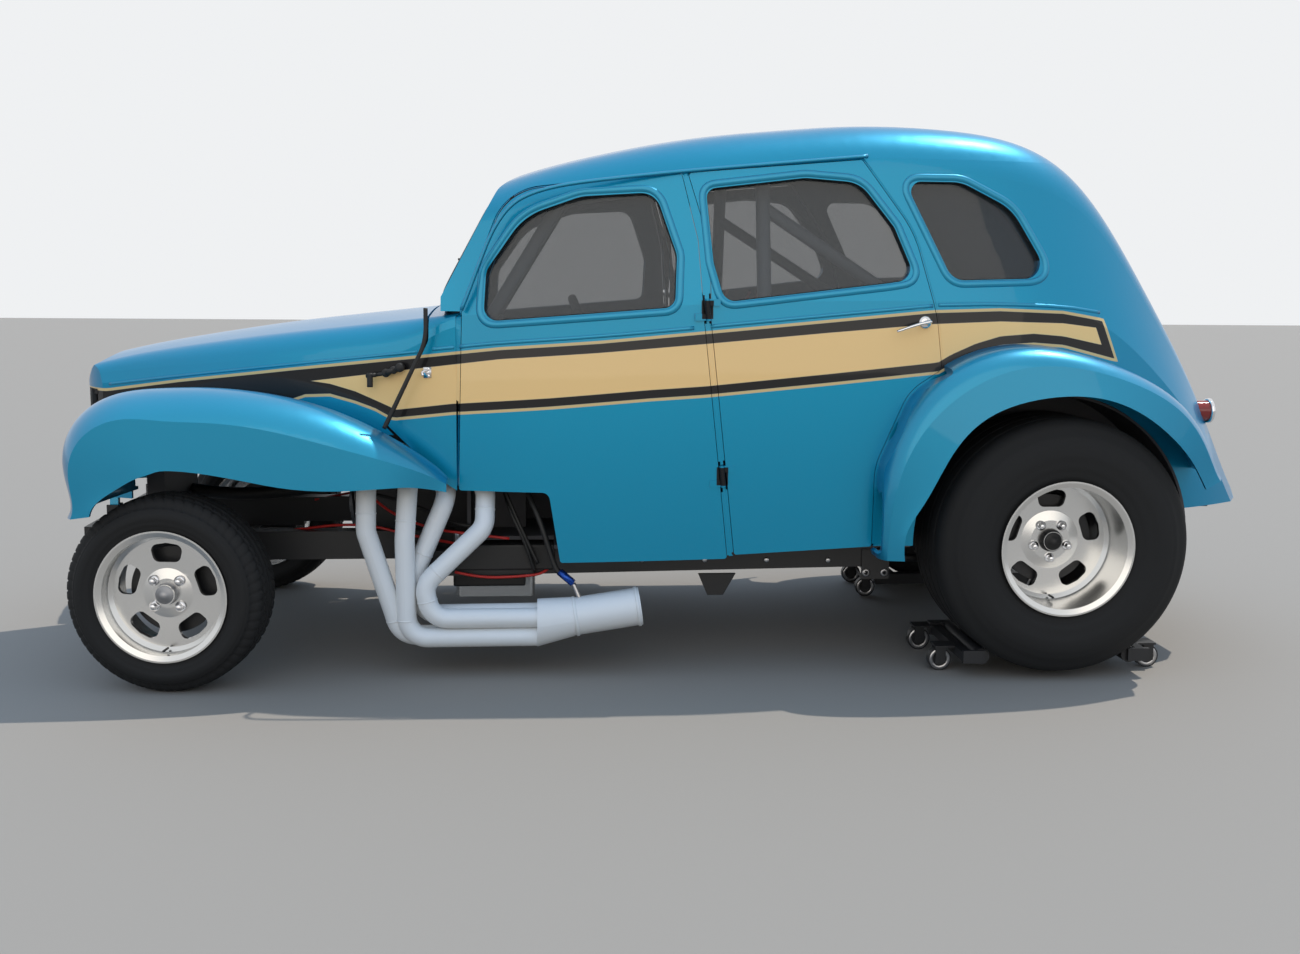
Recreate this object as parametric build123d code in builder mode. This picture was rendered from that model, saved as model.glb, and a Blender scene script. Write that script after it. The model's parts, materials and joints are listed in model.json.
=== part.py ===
from build123d import *
import os
from math import cos, radians, sin

os.makedirs("parts", exist_ok=True)

# Frame: +X forward, +Y to the car's left, +Z up, millimetres.
# The origin is on the ground under the middle of the car.

# Overall sizes
half_length = 1920
front_axle_x = 1500
rear_axle_x = -1170

# Wheels and tyres
front_tyre_r = 292
front_tyre_w = 190
front_flange_r = 195.5
front_wheel_y = 645
rear_tyre_r = 395
rear_tyre_w = 350
rear_flange_r = 208
rear_wheel_y = 596
dolly_lift = 23
rear_hub_z = rear_tyre_r + dolly_lift
front_hub_z = front_tyre_r

# Panels and their clearances
door_t = 45
skin_t = 18
glass_t = 6
fibre_t = 14
door_gap = 7
rabbet = 14
seat = 0.3

# Body outlines seen from the side: x, z, corner radius
front_door_edge = [
    (2, 1532, 10), (521, 1477, 160), (656, 1116, 30), (668, 577, 8), (397, 577, 25),
    (362, 362, 8), (-143, 376, 8), (-64, 1100, 60), (-46, 1335, 80),
]
rear_door_edge = [
    (-18, 1534, 10), (-84, 1317, 60), (-86, 1100, 60), (-165, 388, 8), (-588, 411, 8),
    (-590, 660, 200), (-690, 890, 150), (-790, 955, 10), (-772, 1110, 500), (-700, 1366, 350),
    (-543, 1580, 6),
]
front_window_edge = [
    (592, 1088, 40), (583, 1240, 60), (470, 1402, 190), (300, 1462, 150), (80, 1476, 60),
    (16, 1290, 60), (22, 1136, 36),
]
rear_window_edge = [
    (-70, 1487, 30), (-370, 1524, 100), (-535, 1512, 95), (-640, 1380, 60), (-706, 1226, 42),
    (-620, 1212, 10), (-126, 1152, 42), (-92, 1270, 60),
]
quarter_window_edge = [
    (-672, 1518, 32), (-850, 1518, 120), (-1010, 1440, 160), (-1135, 1232, 50), (-820, 1222, 60),
]

# Cab sections, front to rear
# x, top_z, corner_z, corner_y, corner_r, belt_z, belt_y, sill_y
cab_front_x = 720
cab_table = [
    (cab_front_x, 1470, 1430, 496, 120, 1105, 562, 558),
    (300, 1606, 1562, 562, 150, 1120, 634, 624),
    (-150, 1688, 1640, 586, 170, 1150, 655, 642),
    (-650, 1724, 1675, 588, 170, 1160, 657, 645),
    (-1000, 1704, 1650, 566, 170, 1160, 650, 642),
    (-1260, 1584, 1526, 520, 160, 1110, 622, 618),
    (-1500, 1290, 1225, 465, 140, 950, 566, 572),
    (-1700, 976, 915, 400, 110, 740, 492, 500),
    (-half_length, 600, 545, 300, 84, 430, 380, 390),
    (-2100, 290, 240, 200, 60, 170, 260, 270),
]
cab_stations = 18
cab_floor_z = -100
side_bulge = 0.012

# Hood and cowl sections, front to rear
# x, top_z, corner_z, corner_y, corner_r, side_z, side_y
hood_table = [
    (half_length, 938, 908, 165, 30, 862, 172),
    (1700, 990, 958, 248, 58, 882, 260),
    (1500, 1026, 992, 332, 74, 902, 346),
    (1234, 1067, 1030, 428, 86, 938, 440),
    (900, 1106, 1072, 512, 84, 976, 522),
    (740, 1124, 1098, 548, 44, 1040, 557),
    (640, 1138, 1118, 570, 30, 1070, 575),
]
hood_stations = 11
hood_side_z = 740
seam_gap = 8


def smooth(table, x):
    """The table's columns at x, by a cubic through its rows that never overshoots them."""
    rows = sorted(table)
    k = max(i for i in range(len(rows) - 1) if rows[i][0] <= x)
    values = []
    for column in range(1, len(rows[0])):
        slope = [(b[column] - a[column]) / (b[0] - a[0]) for a, b in zip(rows, rows[1:])]
        ends = []
        for i in (k, k + 1):
            before, after = slope[max(i - 1, 0)], slope[min(i, len(slope) - 1)]
            ends.append(2 * before * after / (before + after) if before * after > 0 else 0)
        span = rows[k + 1][0] - rows[k][0]
        t = (x - rows[k][0]) / span
        values.append(
            rows[k][column] * (1 + 2 * t) * (1 - t) ** 2 + rows[k + 1][column] * t * t * (3 - 2 * t)
            + span * (ends[0] * t * (1 - t) ** 2 - ends[1] * t * t * (1 - t))
        )
    return values


def stations(table, count):
    """Evenly spaced places along a table, rear to front."""
    low, high = min(table)[0], max(table)[0]
    return [low + (high - low) * i / (count - 1) for i in range(count)]


def arc_mid(a, b, push):
    """A point beside the middle of the chord from a to b, pushed to its left by a share of its length."""
    dx, dz = b[0] - a[0], b[1] - a[1]
    return ((a[0] + b[0]) / 2 - dz * push, (a[1] + b[1]) / 2 + dx * push)


def cab_loft(inset, roof_inset, bottom_z):
    """The cab's closed form, its sides and roof moved in by the two insets."""
    with BuildPart() as body:
        for x in stations(cab_table, cab_stations):
            top_z, corner_z, corner_y, corner_r, belt_z, belt_y, sill_y = smooth(cab_table, x)
            sill = (sill_y - inset, bottom_z)
            belt = (belt_y - inset, belt_z)
            corner = (corner_y - inset, corner_z - roof_inset)
            with BuildSketch(Plane.YZ.offset(x)) as section:
                with BuildLine():
                    Line((-sill[0], bottom_z), sill)
                    ThreePointArc(sill, arc_mid(sill, belt, -side_bulge), belt)
                    Line(belt, corner)
                    ThreePointArc(corner, (0, top_z - roof_inset), (-corner[0], corner[1]))
                    Line((-corner[0], corner[1]), (-belt[0], belt[1]))
                    left_belt, left_sill = (-belt[0], belt[1]), (-sill[0], sill[1])
                    ThreePointArc(left_belt, arc_mid(left_belt, left_sill, -side_bulge), left_sill)
                make_face()
                fillet(section.vertices().group_by(Axis.Y)[-1], corner_r - inset / 2)
        loft()
    return body.part


def hood_loft(inset, bottom_z):
    """The hood and cowl as one closed form, moved in by the inset."""
    with BuildPart() as body:
        for x in stations(hood_table, hood_stations):
            top_z, corner_z, corner_y, corner_r, side_z, side_y = smooth(hood_table, x)
            side = (side_y - inset, side_z - inset)
            corner = (corner_y - inset, corner_z - inset)
            with BuildSketch(Plane.YZ.offset(x)) as section:
                with BuildLine():
                    Polyline(
                        (-corner[0], corner[1]), (-side[0], side[1]), (-side[0], bottom_z),
                        (side[0], bottom_z), side, corner,
                    )
                    ThreePointArc(corner, (0, top_z - inset), (-corner[0], corner[1]))
                make_face()
                fillet(section.vertices().group_by(Axis.Y)[-1], corner_r)
        loft()
    return body.part


def slab(edge, y0, y1, grow=0):
    """A side outline carried straight across the car from y0 to y1."""
    with BuildPart() as block:
        with BuildSketch(Plane.XZ.offset(-y0)):
            with BuildLine():
                FilletPolyline(*[(x, z) for x, z, _ in edge], radius=[r for _, _, r in edge], close=True)
            make_face()
            if grow:
                offset(amount=grow, kind=Kind.INTERSECTION, mode=Mode.REPLACE)
        extrude(amount=-(y1 - y0))
    return block.part


def rod(a, b, r, bore=0):
    """A round bar or tube from point a to point b."""
    axis = Vector(*b) - Vector(*a)
    with BuildPart() as bar:
        with BuildSketch(Plane(origin=a, z_dir=axis)):
            Circle(r)
            if bore:
                Circle(bore, mode=Mode.SUBTRACT)
        extrude(amount=axis.length)
    return bar.part


def bent_tube(points, bends, r):
    """A round tube along straight runs joined by tangent bends."""
    with BuildPart() as pipe:
        with BuildLine() as path:
            FilletPolyline(*points, radius=bends)
        with BuildSketch(Plane(origin=path.line @ 0, z_dir=path.line % 0)):
            Circle(r)
        sweep(path=path.line)
    return pipe.part


def beam(a, b, wide, tall):
    """A box section from a to b, wide across the car and tall in its own plane."""
    axis = Vector(*b) - Vector(*a)
    side = Vector(0, 1, 0) if abs(axis.Y) < abs(axis.X) + abs(axis.Z) else Vector(1, 0, 0)
    side = side - axis.normalized() * side.dot(axis.normalized())
    with BuildPart() as bar:
        with BuildSketch(Plane(origin=a, x_dir=side, z_dir=axis)):
            Rectangle(wide, tall)
        extrude(amount=axis.length)
    return bar.part


def box(x0, x1, y0, y1, z0, z1):
    with BuildPart() as block:
        with Locations(((x0 + x1) / 2, (y0 + y1) / 2, (z0 + z1) / 2)):
            Box(x1 - x0, y1 - y0, z1 - z0)
    return block.part


def other_side(shape):
    return mirror(shape, about=Plane.XZ)


def save(part, name):
    part.label = name
    export_step(part, f"parts/{name}.step")


def hood_nose(inset):
    """The rounded nose, seen from the side and from above, that trims the hood's front."""
    front = half_length - inset
    with BuildPart() as side:
        with BuildSketch(Plane.XZ.offset(-700)):
            with BuildLine():
                FilletPolyline(
                    (600, 600), (front - 8, 600), (front - 8, 858 - inset), (1868 - inset, 922 - inset),
                    (1790, 966 - inset), (1700, 1200), (600, 1200),
                    radius=[0, 0, 26, 60, 200, 0, 0], close=True,
                )
            make_face()
        extrude(amount=1400)
    with BuildPart() as plan:
        with BuildSketch(Plane.XY.offset(500)):
            with BuildLine():
                Polyline((1800, 230 - inset), (600, 700), (600, -700), (1800, inset - 230))
                ThreePointArc((1800, inset - 230), (front, 0), (1800, 230 - inset))
            make_face()
        extrude(amount=800)
    return side.part & plan.part


def tail_trim(inset):
    """The side outline that the cab keeps: windscreen slope, tail curve and an open floor."""
    back = -half_length + inset
    with BuildPart() as keep:
        with BuildSketch(Plane.XZ.offset(-900)):
            with BuildLine():
                FilletPolyline(
                    (900, -200), (900, 1118), (742 - inset, 1118), (548 - inset, 1490 - inset / 2),
                    (470, 1552 - inset), (260, 1606 - inset / 3), (260, 1900), (-1700, 1900),
                    (-1700, 990), (-1800, 830), (back + 14, 620), (back, 500), (back, -200),
                    radius=[0, 0, 0, 70, 160, 0, 0, 0, 0, 200, 160, 60, 0], close=True,
                )
            make_face()
        extrude(amount=1800)
    return keep.part


# What parts the cab's panels, seen from the side
wide = 900
roof_t = 30
cowl_t = 30
cowl_bottom_z = 540
roof_z = 1586
pillar_foot_z = 1118
door_front_x = 668
seam_edge = [
    (757, 1200, 0), (757, 1030, 60), (884, 768, 0), (700, 590, 0), (door_front_x + door_gap, 575, 0),
    (door_front_x + door_gap, 1104, 0), (640, 1118, 0), (640, 1200, 0),
]
roof_region = [
    (900, pillar_foot_z, 0), (900, 1900, 0), (-1400, 1900, 0), (-1400, roof_z, 0), (-540, roof_z, 0),
    (-8, 1541, 0), (30, 1541, 0), (30, pillar_foot_z, 0),
]
post_region = [(14, 1541, 0), (-8, 1541, 0), (-40, 1543.7, 0), (-240, 389, 0), (-60, 380, 0)]
quarter_region = [
    (-540, roof_z, 0), (-2000, roof_z, 0), (-2000, 500, 0), (-1600, 500, 0), (-1500, 412, 0),
    (-540, 412, 0),
]
tail_half = 340
arch_r = 452
arch_z = 424
wheel_arch = rod((rear_axle_x, 300, arch_z), (rear_axle_x, wide, arch_z), arch_r)

# Rear window and boot lid, seen from behind
back_window_half = 262
back_window_z = (1235, 1452)
boot_half = 300
boot_z = (640, 1132)
boot_hinge = (-1602, 1141)
boot_hinge_y = (-150, 150)

# Door hinges: one leaning line a side, both doors on the same pins
hinge_low = Vector(-125, 669, 630)
hinge_high = Vector(-74, 669, 1130)
hinge_run = (hinge_high - hinge_low).normalized()
hinge_bases = (hinge_low, hinge_high)
hinge_r = 8
pin_r = 4
pin_clear = 0.1
knuckle_start = 11.5
knuckle_end = 33

# Windscreen opening, in the plane of the sloped glass
slope = Vector(548 - 742, 0, 1490 - 1118).normalized()
screen_plane = Plane(origin=(645, 0, 1304), x_dir=(0, 1, 0), z_dir=Vector(0, 1, 0).cross(slope))
screen_low_w = 1010
screen_high_w = 880
screen_h = 300


def rear_slab(half, z0, z1, r, grow=0):
    """A rounded rectangle seen from behind, carried forward through the tail."""
    with BuildPart() as block:
        with BuildSketch(Plane.YZ.offset(-2000)):
            with Locations((0, (z0 + z1) / 2)):
                RectangleRounded(2 * half + 2 * grow, z1 - z0 + 2 * grow, r + grow)
        extrude(amount=900)
    return block.part


def screen_slab(depth0, depth1, shrink=0):
    """The windscreen's outline, from depth0 to depth1 behind the sloped face."""
    low, high, half = screen_low_w / 2 - shrink, screen_high_w / 2 - shrink, screen_h / 2 - shrink
    with BuildPart() as block:
        with BuildSketch(screen_plane.offset(-depth0)) as sketch:
            with BuildLine():
                Polyline((-low, -half), (low, -half), (high, half), (-high, half), close=True)
            make_face()
            fillet(sketch.vertices(), 60)
        extrude(amount=depth0 - depth1)
    return block.part


def left_and_right(shape):
    return Compound(children=[shape, other_side(shape)])


# Front fenders: sections on planes that turn about a line across the car, then step rearwards
# plane_x, turn in degrees, then inner, crown, side and lip as (out, y) and the wall
fender_z = 560
front_fender_table = [
    (1500, -8, 232, 236, 300, 560, 262, 738, 207, 744, 13),
    (1500, 12, 246, 244, 303, 565, 262, 742, 158, 747, 13),
    (1500, 32, 286, 262, 348, 570, 290, 746, 122, 749, 13),
    (1500, 52, 312, 290, 356, 575, 290, 748, 106, 751, 13),
    (1500, 71, 306, 318, 338, 580, 268, 749, 100, 752, 13),
    (1500, 90, 292, 345, 328, 585, 248, 750, 104, 752, 13),
    (1340, 90, 290, 400, 326, 590, 240, 750, 88, 752, 13),
    (1180, 90, 270, 448, 304, 595, 215, 749, 56, 751, 13),
    (1020, 90, 226, 492, 258, 600, 172, 742, 42, 744, 13),
    (860, 90, 152, 532, 180, 602, 122, 716, 46, 718, 12),
    (700, 90, 40, 566, 62, 604, 50, 668, 26, 669, 8),
]


def fender_section(plane_x, turn, centre_z, inner, crown, side, lip, wall):
    """A hooked strip: out over the crown, round to the side, down to the lip and back inside."""
    out = (cos(radians(turn)), 0, sin(radians(turn)))
    plane = Plane(origin=(plane_x, 0, centre_z), x_dir=out, z_dir=(-out[2], 0, out[0]))
    shoulder = (crown[0] - (crown[0] - side[0]) * 0.32, crown[1] + (side[1] - crown[1]) * 0.70)
    inner_side = (side[0] - wall * 0.4, side[1] - wall)
    inner_crown = (crown[0] - wall, crown[1] - wall * 0.3)
    inner_shoulder = (shoulder[0] - wall * 0.75, shoulder[1] - wall * 0.75)
    rise = (inner[0] + (crown[0] - inner[0]) * 0.70, inner[1] + (crown[1] - inner[1]) * 0.55)
    with BuildSketch(plane) as sketch:
        with BuildLine():
            ThreePointArc(inner, rise, crown)
            ThreePointArc(crown, shoulder, side)
            Line(side, lip)
            Line(lip, (lip[0], lip[1] - wall))
            Line((lip[0], lip[1] - wall), inner_side)
            ThreePointArc(inner_side, inner_shoulder, inner_crown)
            ThreePointArc(inner_crown, (rise[0] - wall, rise[1]), (inner[0] - wall, inner[1]))
            Line((inner[0] - wall, inner[1]), inner)
        make_face()
    return sketch.sketch


def fender_loft(table, centre_z):
    with BuildPart() as shell:
        for plane_x, turn, *rest, wall in table:
            inner, crown, side, lip = zip(rest[0::2], rest[1::2])
            add(fender_section(plane_x, turn, centre_z, inner, crown, side, lip, wall))
        loft()
    return shell.part


# Rear fenders: sections on planes that all turn about the wheel
arch_centre_z = 418
rear_fender_turns = [
    (-3, 584, 620, 578, 700, 560, 770, 512, 792, 10),
    (17, 612, 620, 606, 712, 570, 788, 486, 803, 10),
    (37, 652, 620, 644, 716, 590, 796, 482, 806, 10),
    (57, 668, 620, 658, 716, 590, 798, 490, 806, 10),
    (77, 636, 615, 626, 712, 570, 797, 474, 806, 10),
    (97, 590, 600, 580, 706, 540, 794, 466, 805, 10),
    (117, 572, 560, 562, 690, 530, 788, 456, 800, 10),
    (137, 566, 500, 556, 664, 524, 770, 452, 786, 10),
    (157, 556, 420, 548, 630, 520, 742, 462, 760, 10),
]
rear_fender_table = [(rear_axle_x, *row) for row in rear_fender_turns]


# Cab forms
cab_outer = cab_loft(0, 0, cab_floor_z) & tail_trim(0)
cab_inner = cab_loft(door_t, roof_t, cab_floor_z - 20) & tail_trim(door_t)
skin_inner = cab_loft(skin_t, 12, cab_floor_z - 20)
glass_inner = cab_loft(skin_t + glass_t, 18, cab_floor_z - 20)
hood_outer = hood_loft(0, cowl_bottom_z)
left_half = box(-2100, 900, 0, wide, -300, 1900)
left_outer = cab_outer & left_half
left_shell = left_outer - cab_inner
door_openings = slab(front_door_edge, 300, wide, door_gap) + slab(rear_door_edge, 300, wide, door_gap)
back_window = rear_slab(back_window_half, *back_window_z, 80)


# Hinge knuckles along each line: the middle one is fixed, the outer two swing
def hinge_pin(base, run):
    return rod(base - run * knuckle_end, base + run * knuckle_end, pin_r)


with BuildPart() as post:
    add(left_shell)
    add(slab(post_region, 300, wide), mode=Mode.INTERSECT)
    add(door_openings, mode=Mode.SUBTRACT)
    for base in hinge_bases:
        add(rod(base - hinge_run * 36, base + hinge_run * 36, hinge_r + 5), mode=Mode.SUBTRACT)
    for base in hinge_bases:
        add(box(base.X - 4, base.X + 4, base.Y - 24, base.Y, base.Z - 10, base.Z + 10))
        add(rod(base - hinge_run * 11, base + hinge_run * 11, hinge_r))
        add(hinge_pin(base, hinge_run))


def hinge_leaves(toward, low, high):
    """A door's two hinge leaves with their bored knuckles, reaching forward or rearward."""
    with BuildPart() as leaves:
        for base in hinge_bases:
            middle = base + hinge_run * (low + high) / 2
            z0, z1 = middle.Z - 10, middle.Z + 10
            for start, depth in ((0, 8), (14, 24)):
                x0, x1 = sorted((middle.X + toward * start, middle.X + toward * 40))
                add(box(x0, x1, base.Y - depth, base.Y - 3, z0, z1))
            add(rod(base + hinge_run * low, base + hinge_run * high, hinge_r))
            bore_low, bore_high = base + hinge_run * (low - 1), base + hinge_run * (high + 1)
            add(rod(bore_low, bore_high, pin_r + pin_clear), mode=Mode.SUBTRACT)
    return leaves.part


def door(edge, window, toward, low, high):
    """A left door: a skin out to its edge, a thicker frame behind it, its window and its hinge leaves."""
    with BuildPart() as behind:
        add(slab(edge, 300, wide, rabbet))
        add(slab(edge, 300, wide, -rabbet), mode=Mode.SUBTRACT)
        add(skin_inner, mode=Mode.INTERSECT)
    with BuildPart() as whole:
        add(left_outer)
        add(slab(edge, 300, wide) - slab(window, 300, wide), mode=Mode.INTERSECT)
        add(cab_inner, mode=Mode.SUBTRACT)
        add(behind.part, mode=Mode.SUBTRACT)
        add(hinge_leaves(toward, low, high))
    return whole.part


def pane(window):
    with BuildPart() as glass:
        add(left_outer)
        add(slab(window, 300, wide, -seat), mode=Mode.INTERSECT)
        add(skin_inner, mode=Mode.INTERSECT)
        add(glass_inner, mode=Mode.SUBTRACT)
    return glass.part


front_door = door(front_door_edge, front_window_edge, 1, -knuckle_end, -knuckle_start)
rear_door = door(rear_door_edge, rear_window_edge, -1, knuckle_start, knuckle_end)

with BuildPart() as cowl:
    add(hood_outer)
    add(slab(seam_edge, -wide, wide), mode=Mode.INTERSECT)
    add(hood_loft(cowl_t, cowl_bottom_z - 20), mode=Mode.SUBTRACT)
    add(door_openings, mode=Mode.SUBTRACT)
    add(other_side(door_openings), mode=Mode.SUBTRACT)

with BuildPart() as roof_half:
    add(left_shell)
    add(slab(roof_region, 0, wide), mode=Mode.INTERSECT)
    add(door_openings, mode=Mode.SUBTRACT)
    add(screen_slab(-200, 200), mode=Mode.SUBTRACT)
    add(hood_outer, mode=Mode.SUBTRACT)
with BuildPart() as roof_shell:
    add(roof_half.part)
    add(other_side(roof_half.part))

with BuildPart() as quarter:
    add(left_shell)
    add(slab(quarter_region, 0, wide), mode=Mode.INTERSECT)
    add(box(-2000, -1200, -1, tail_half, 300, 1800), mode=Mode.SUBTRACT)
    add(door_openings, mode=Mode.SUBTRACT)
    add(slab(quarter_window_edge, 300, wide), mode=Mode.SUBTRACT)
    add(wheel_arch, mode=Mode.SUBTRACT)

with BuildPart() as tail_panel:
    add(cab_outer)
    add(box(-2000, -1200, -tail_half, tail_half, 500, roof_z), mode=Mode.INTERSECT)
    add(cab_inner, mode=Mode.SUBTRACT)
    add(back_window, mode=Mode.SUBTRACT)
    add(rear_slab(boot_half, *boot_z, 60, door_gap), mode=Mode.SUBTRACT)
    for y in boot_hinge_y:
        low, high = (boot_hinge[0], y - 12, boot_hinge[1]), (boot_hinge[0], y + 12, boot_hinge[1])
        add(rod(low, high, hinge_r + 1), mode=Mode.SUBTRACT)
    for y in boot_hinge_y:
        base = Vector(boot_hinge[0], y, boot_hinge[1])
        across = Vector(0, 1, 0)
        for low, high in ((-knuckle_end, -knuckle_start), (knuckle_start, knuckle_end)):
            add(rod(base + across * low, base + across * high, hinge_r))
            add(box(base.X, base.X + 24, y + low, y + high, base.Z - 2, base.Z + 14))
        add(hinge_pin(base, across))

with BuildPart() as boot_lid:
    add(cab_outer)
    add(rear_slab(boot_half, *boot_z, 60), mode=Mode.INTERSECT)
    add(skin_inner, mode=Mode.SUBTRACT)
    for y in boot_hinge_y:
        base = Vector(boot_hinge[0], y, boot_hinge[1])
        foot = base + Vector(-16, 0, -34)
        add(beam((base.X, y, base.Z), (foot.X, y, foot.Z), 20, 8))
        add(beam((base.X + 2, y, base.Z - 14), (foot.X + 6, y, foot.Z + 4), 20, 14))
        add(rod((base.X, y - 11, base.Z), (base.X, y + 11, base.Z), hinge_r))
        add(rod((base.X, y - 12, base.Z), (base.X, y + 12, base.Z), pin_r + pin_clear), mode=Mode.SUBTRACT)

quarter_glass = pane(quarter_window_edge)
with BuildPart() as back_glass:
    add(cab_outer)
    add(rear_slab(back_window_half, *back_window_z, 80, -seat), mode=Mode.INTERSECT)
    add(skin_inner, mode=Mode.INTERSECT)
    add(glass_inner, mode=Mode.SUBTRACT)

# Flip front: one moving clip of hood, fenders, nose sides, grille and lamps
flip_x = 1800
flip_z = 455
flip_y = 214
hood_inner = hood_loft(fibre_t, hood_side_z - 20) & hood_nose(fibre_t)
hood_skin = (hood_loft(0, hood_side_z) & hood_nose(0)) - hood_inner
grille_y = 188
grille_low = 510
grille_high = 850
grille_pitch = 15
bar_w = 8
bar_deep = 14

with BuildPart() as hood:
    add(hood_skin)
    add(slab(seam_edge, -wide, wide, seam_gap), mode=Mode.SUBTRACT)
    add(box(600, 700, -wide, wide, 700, 1200), mode=Mode.SUBTRACT)
    add(box(1820, 1930, -grille_y, grille_y, 700, grille_high), mode=Mode.SUBTRACT)

lamp_axis = Vector(254, -40, 140).normalized()
lamp_spot = Vector(1754, 430, 700)
lamp_r = 82

with BuildPart() as nose_side:
    with BuildSketch(Plane.XY.offset(500)):
        with BuildLine():
            Polyline((1862, 190), (1735, 246), (1735, 231), (1862, 176), close=True)
        make_face()
    extrude(amount=hood_side_z - 500)
    add(beam((flip_x, flip_y, flip_z), (flip_x, flip_y - 8, 530), 20, 26))
    add(rod((flip_x, flip_y - 10, flip_z), (flip_x, flip_y + 10, flip_z), 16))
    add(rod((flip_x, flip_y - 12, flip_z), (flip_x, flip_y + 12, flip_z), 6 + pin_clear), mode=Mode.SUBTRACT)

with BuildPart() as front_fender:
    add(fender_loft(front_fender_table, fender_z))
    add(hood_outer, mode=Mode.SUBTRACT)
    add(slab(seam_edge, 0, 590, seam_gap), mode=Mode.SUBTRACT)
    add(nose_side.part, mode=Mode.SUBTRACT)
    add(rod(lamp_spot - lamp_axis * 60, lamp_spot + lamp_axis * 60, lamp_r + seat), mode=Mode.SUBTRACT)

with BuildPart() as headlamp:
    with BuildSketch(Plane(origin=lamp_spot - lamp_axis * 30, z_dir=lamp_axis)):
        Circle(lamp_r)
    extrude(amount=38)
    fillet(headlamp.faces().sort_by(Axis.X)[-1].edges(), 10)

grille_r = (grille_y**2 + 50**2) / 100
grille_centre_x = 1906 - grille_r
with BuildPart() as grille:
    for i in range(-12, 13):
        turn = i * grille_pitch / grille_r
        foot = (grille_centre_x + grille_r * cos(turn), grille_r * sin(turn), grille_low)
        with BuildSketch(Plane(origin=foot, x_dir=(cos(turn), sin(turn), 0), z_dir=(0, 0, 1))):
            Rectangle(bar_deep, bar_w)
        extrude(amount=grille_high - grille_low)
    for z0, z1 in ((grille_low, 532), (hood_side_z - 30, hood_side_z - 14), (834, grille_high)):
        with BuildSketch(Plane.XY.offset(z0)):
            with Locations((grille_centre_x, 0)):
                Circle(grille_r)
                Circle(grille_r - 12, mode=Mode.SUBTRACT)
                Rectangle(2 * (grille_r - 62), 2 * grille_r + 20, mode=Mode.SUBTRACT)
            with Locations((grille_centre_x - grille_r, 0)):
                Rectangle(2 * grille_r, 2 * grille_r + 20, mode=Mode.SUBTRACT)
            with Locations((1900, grille_y + 200), (1900, -grille_y - 200)):
                Rectangle(400, 400, mode=Mode.SUBTRACT)
        extrude(amount=z1 - z0)
    add(nose_side.part, mode=Mode.SUBTRACT)
    add(other_side(nose_side.part), mode=Mode.SUBTRACT)

# Rear fenders
with BuildPart() as rear_fender:
    add(fender_loft(rear_fender_table, arch_centre_z))
    add(cab_outer, mode=Mode.SUBTRACT)
    add(slab(rear_door_edge, 300, wide, door_gap + 2), mode=Mode.SUBTRACT)

# Chassis
rail_z = 365
rail_y = 330
mid_rail_y = 430
mid_rail_z = 323
frame_back = -1800
rear_rail_edge = [
    (-560, 303, 0), (-640, 303, 60), (-800, 520, 80), (-1560, 520, 60), (frame_back, 496, 0),
    (frame_back, 568, 0), (-1560, 600, 60), (-762, 600, 80), (-600, 383, 60), (-560, 383, 0),
]
# Cross members: rear x, front x, half width, bottom z, top z
cross_members = (
    (1790, 1850, 360, 330, 430), (760, 820, 460, 290, 370), (-660, -600, 460, 303, 383),
    (frame_back, frame_back + 50, 385, 480, 540),
)
with BuildPart() as chassis_frame:
    for side in (-1, 1):
        add(box(700, 1850, side * rail_y - 30, side * rail_y + 30, rail_z - 45, rail_z + 45))
        add(beam((850, side * mid_rail_y, mid_rail_z), (-640, side * mid_rail_y, mid_rail_z + 20), 60, 80))
        add(slab(rear_rail_edge, side * 340 - 25, side * 340 + 25))
        for near, far in ((-26, -18), (18, 26)):
            low, high = sorted((side * (flip_y + near), side * (flip_y + far)))
            add(box(flip_x - 18, flip_x + 18, low, high, 425, 478))
        add(rod((flip_x, side * (flip_y - 26), flip_z), (flip_x, side * (flip_y + 26), flip_z), 6))
        low, high = sorted((side * 458, side * 466))
        add(box(-700, -610, low, high, 262, 360))
    for x0, x1, half, z0, z1 in cross_members:
        add(box(x0, x1, -half, half, z0, z1))
    add(box(1640, 1700, -302, 302, 395, 425))
    add(box(1850, 1886, -12, 12, 320, 368))
    add(rod((1868, -14, 344), (1868, 14, 344), 11), mode=Mode.SUBTRACT)
    for x in (-685, -625):
        add(rod((x, -480, 283), (x, 480, 283), 7), mode=Mode.SUBTRACT)

# Floor, firewall, tunnel and wheel tubs
floor_z = 395
tub_y = 366
toe_half = 440
firewall_half = 520
axle_r = 44
link_y = 390
rear_floor_edge = [
    (-590, 395, 0), (-590, 407, 0), (-600, 407, 0), (-764, 614, 0), (frame_back, 614, 0),
    (frame_back, 602, 0), (-762, 602, 0), (-602, 395, 0),
]
with BuildPart() as hollow:
    add(box(482, 660, -278, 278, floor_z - 1, 888))
    add(box(-600, 490, -124, 124, floor_z - 1, 590))
    add(box(-780, -500, -50, 50, floor_z - 1, 480))
    add(rod((400, 0, 450), (500, 0, 450), 131))
    add(rod((rear_axle_x, -450, rear_hub_z), (rear_axle_x, 450, rear_hub_z), axle_r + 16))
    for side in (-1, 1):
        low, high = sorted((side * (link_y - 22), side * (link_y + 22)))
        add(box(-760, -700, low, high, floor_z - 1, floor_z + 13))
        tub_wall = (rear_axle_x, side * (tub_y + 8), arch_z)
        add(rod(tub_wall, (rear_axle_x, side * 660, arch_z), arch_r - 8))
        add(box(-735, -600, side * 340 - 25, side * 340 + 25, floor_z - 1, 600))
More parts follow.
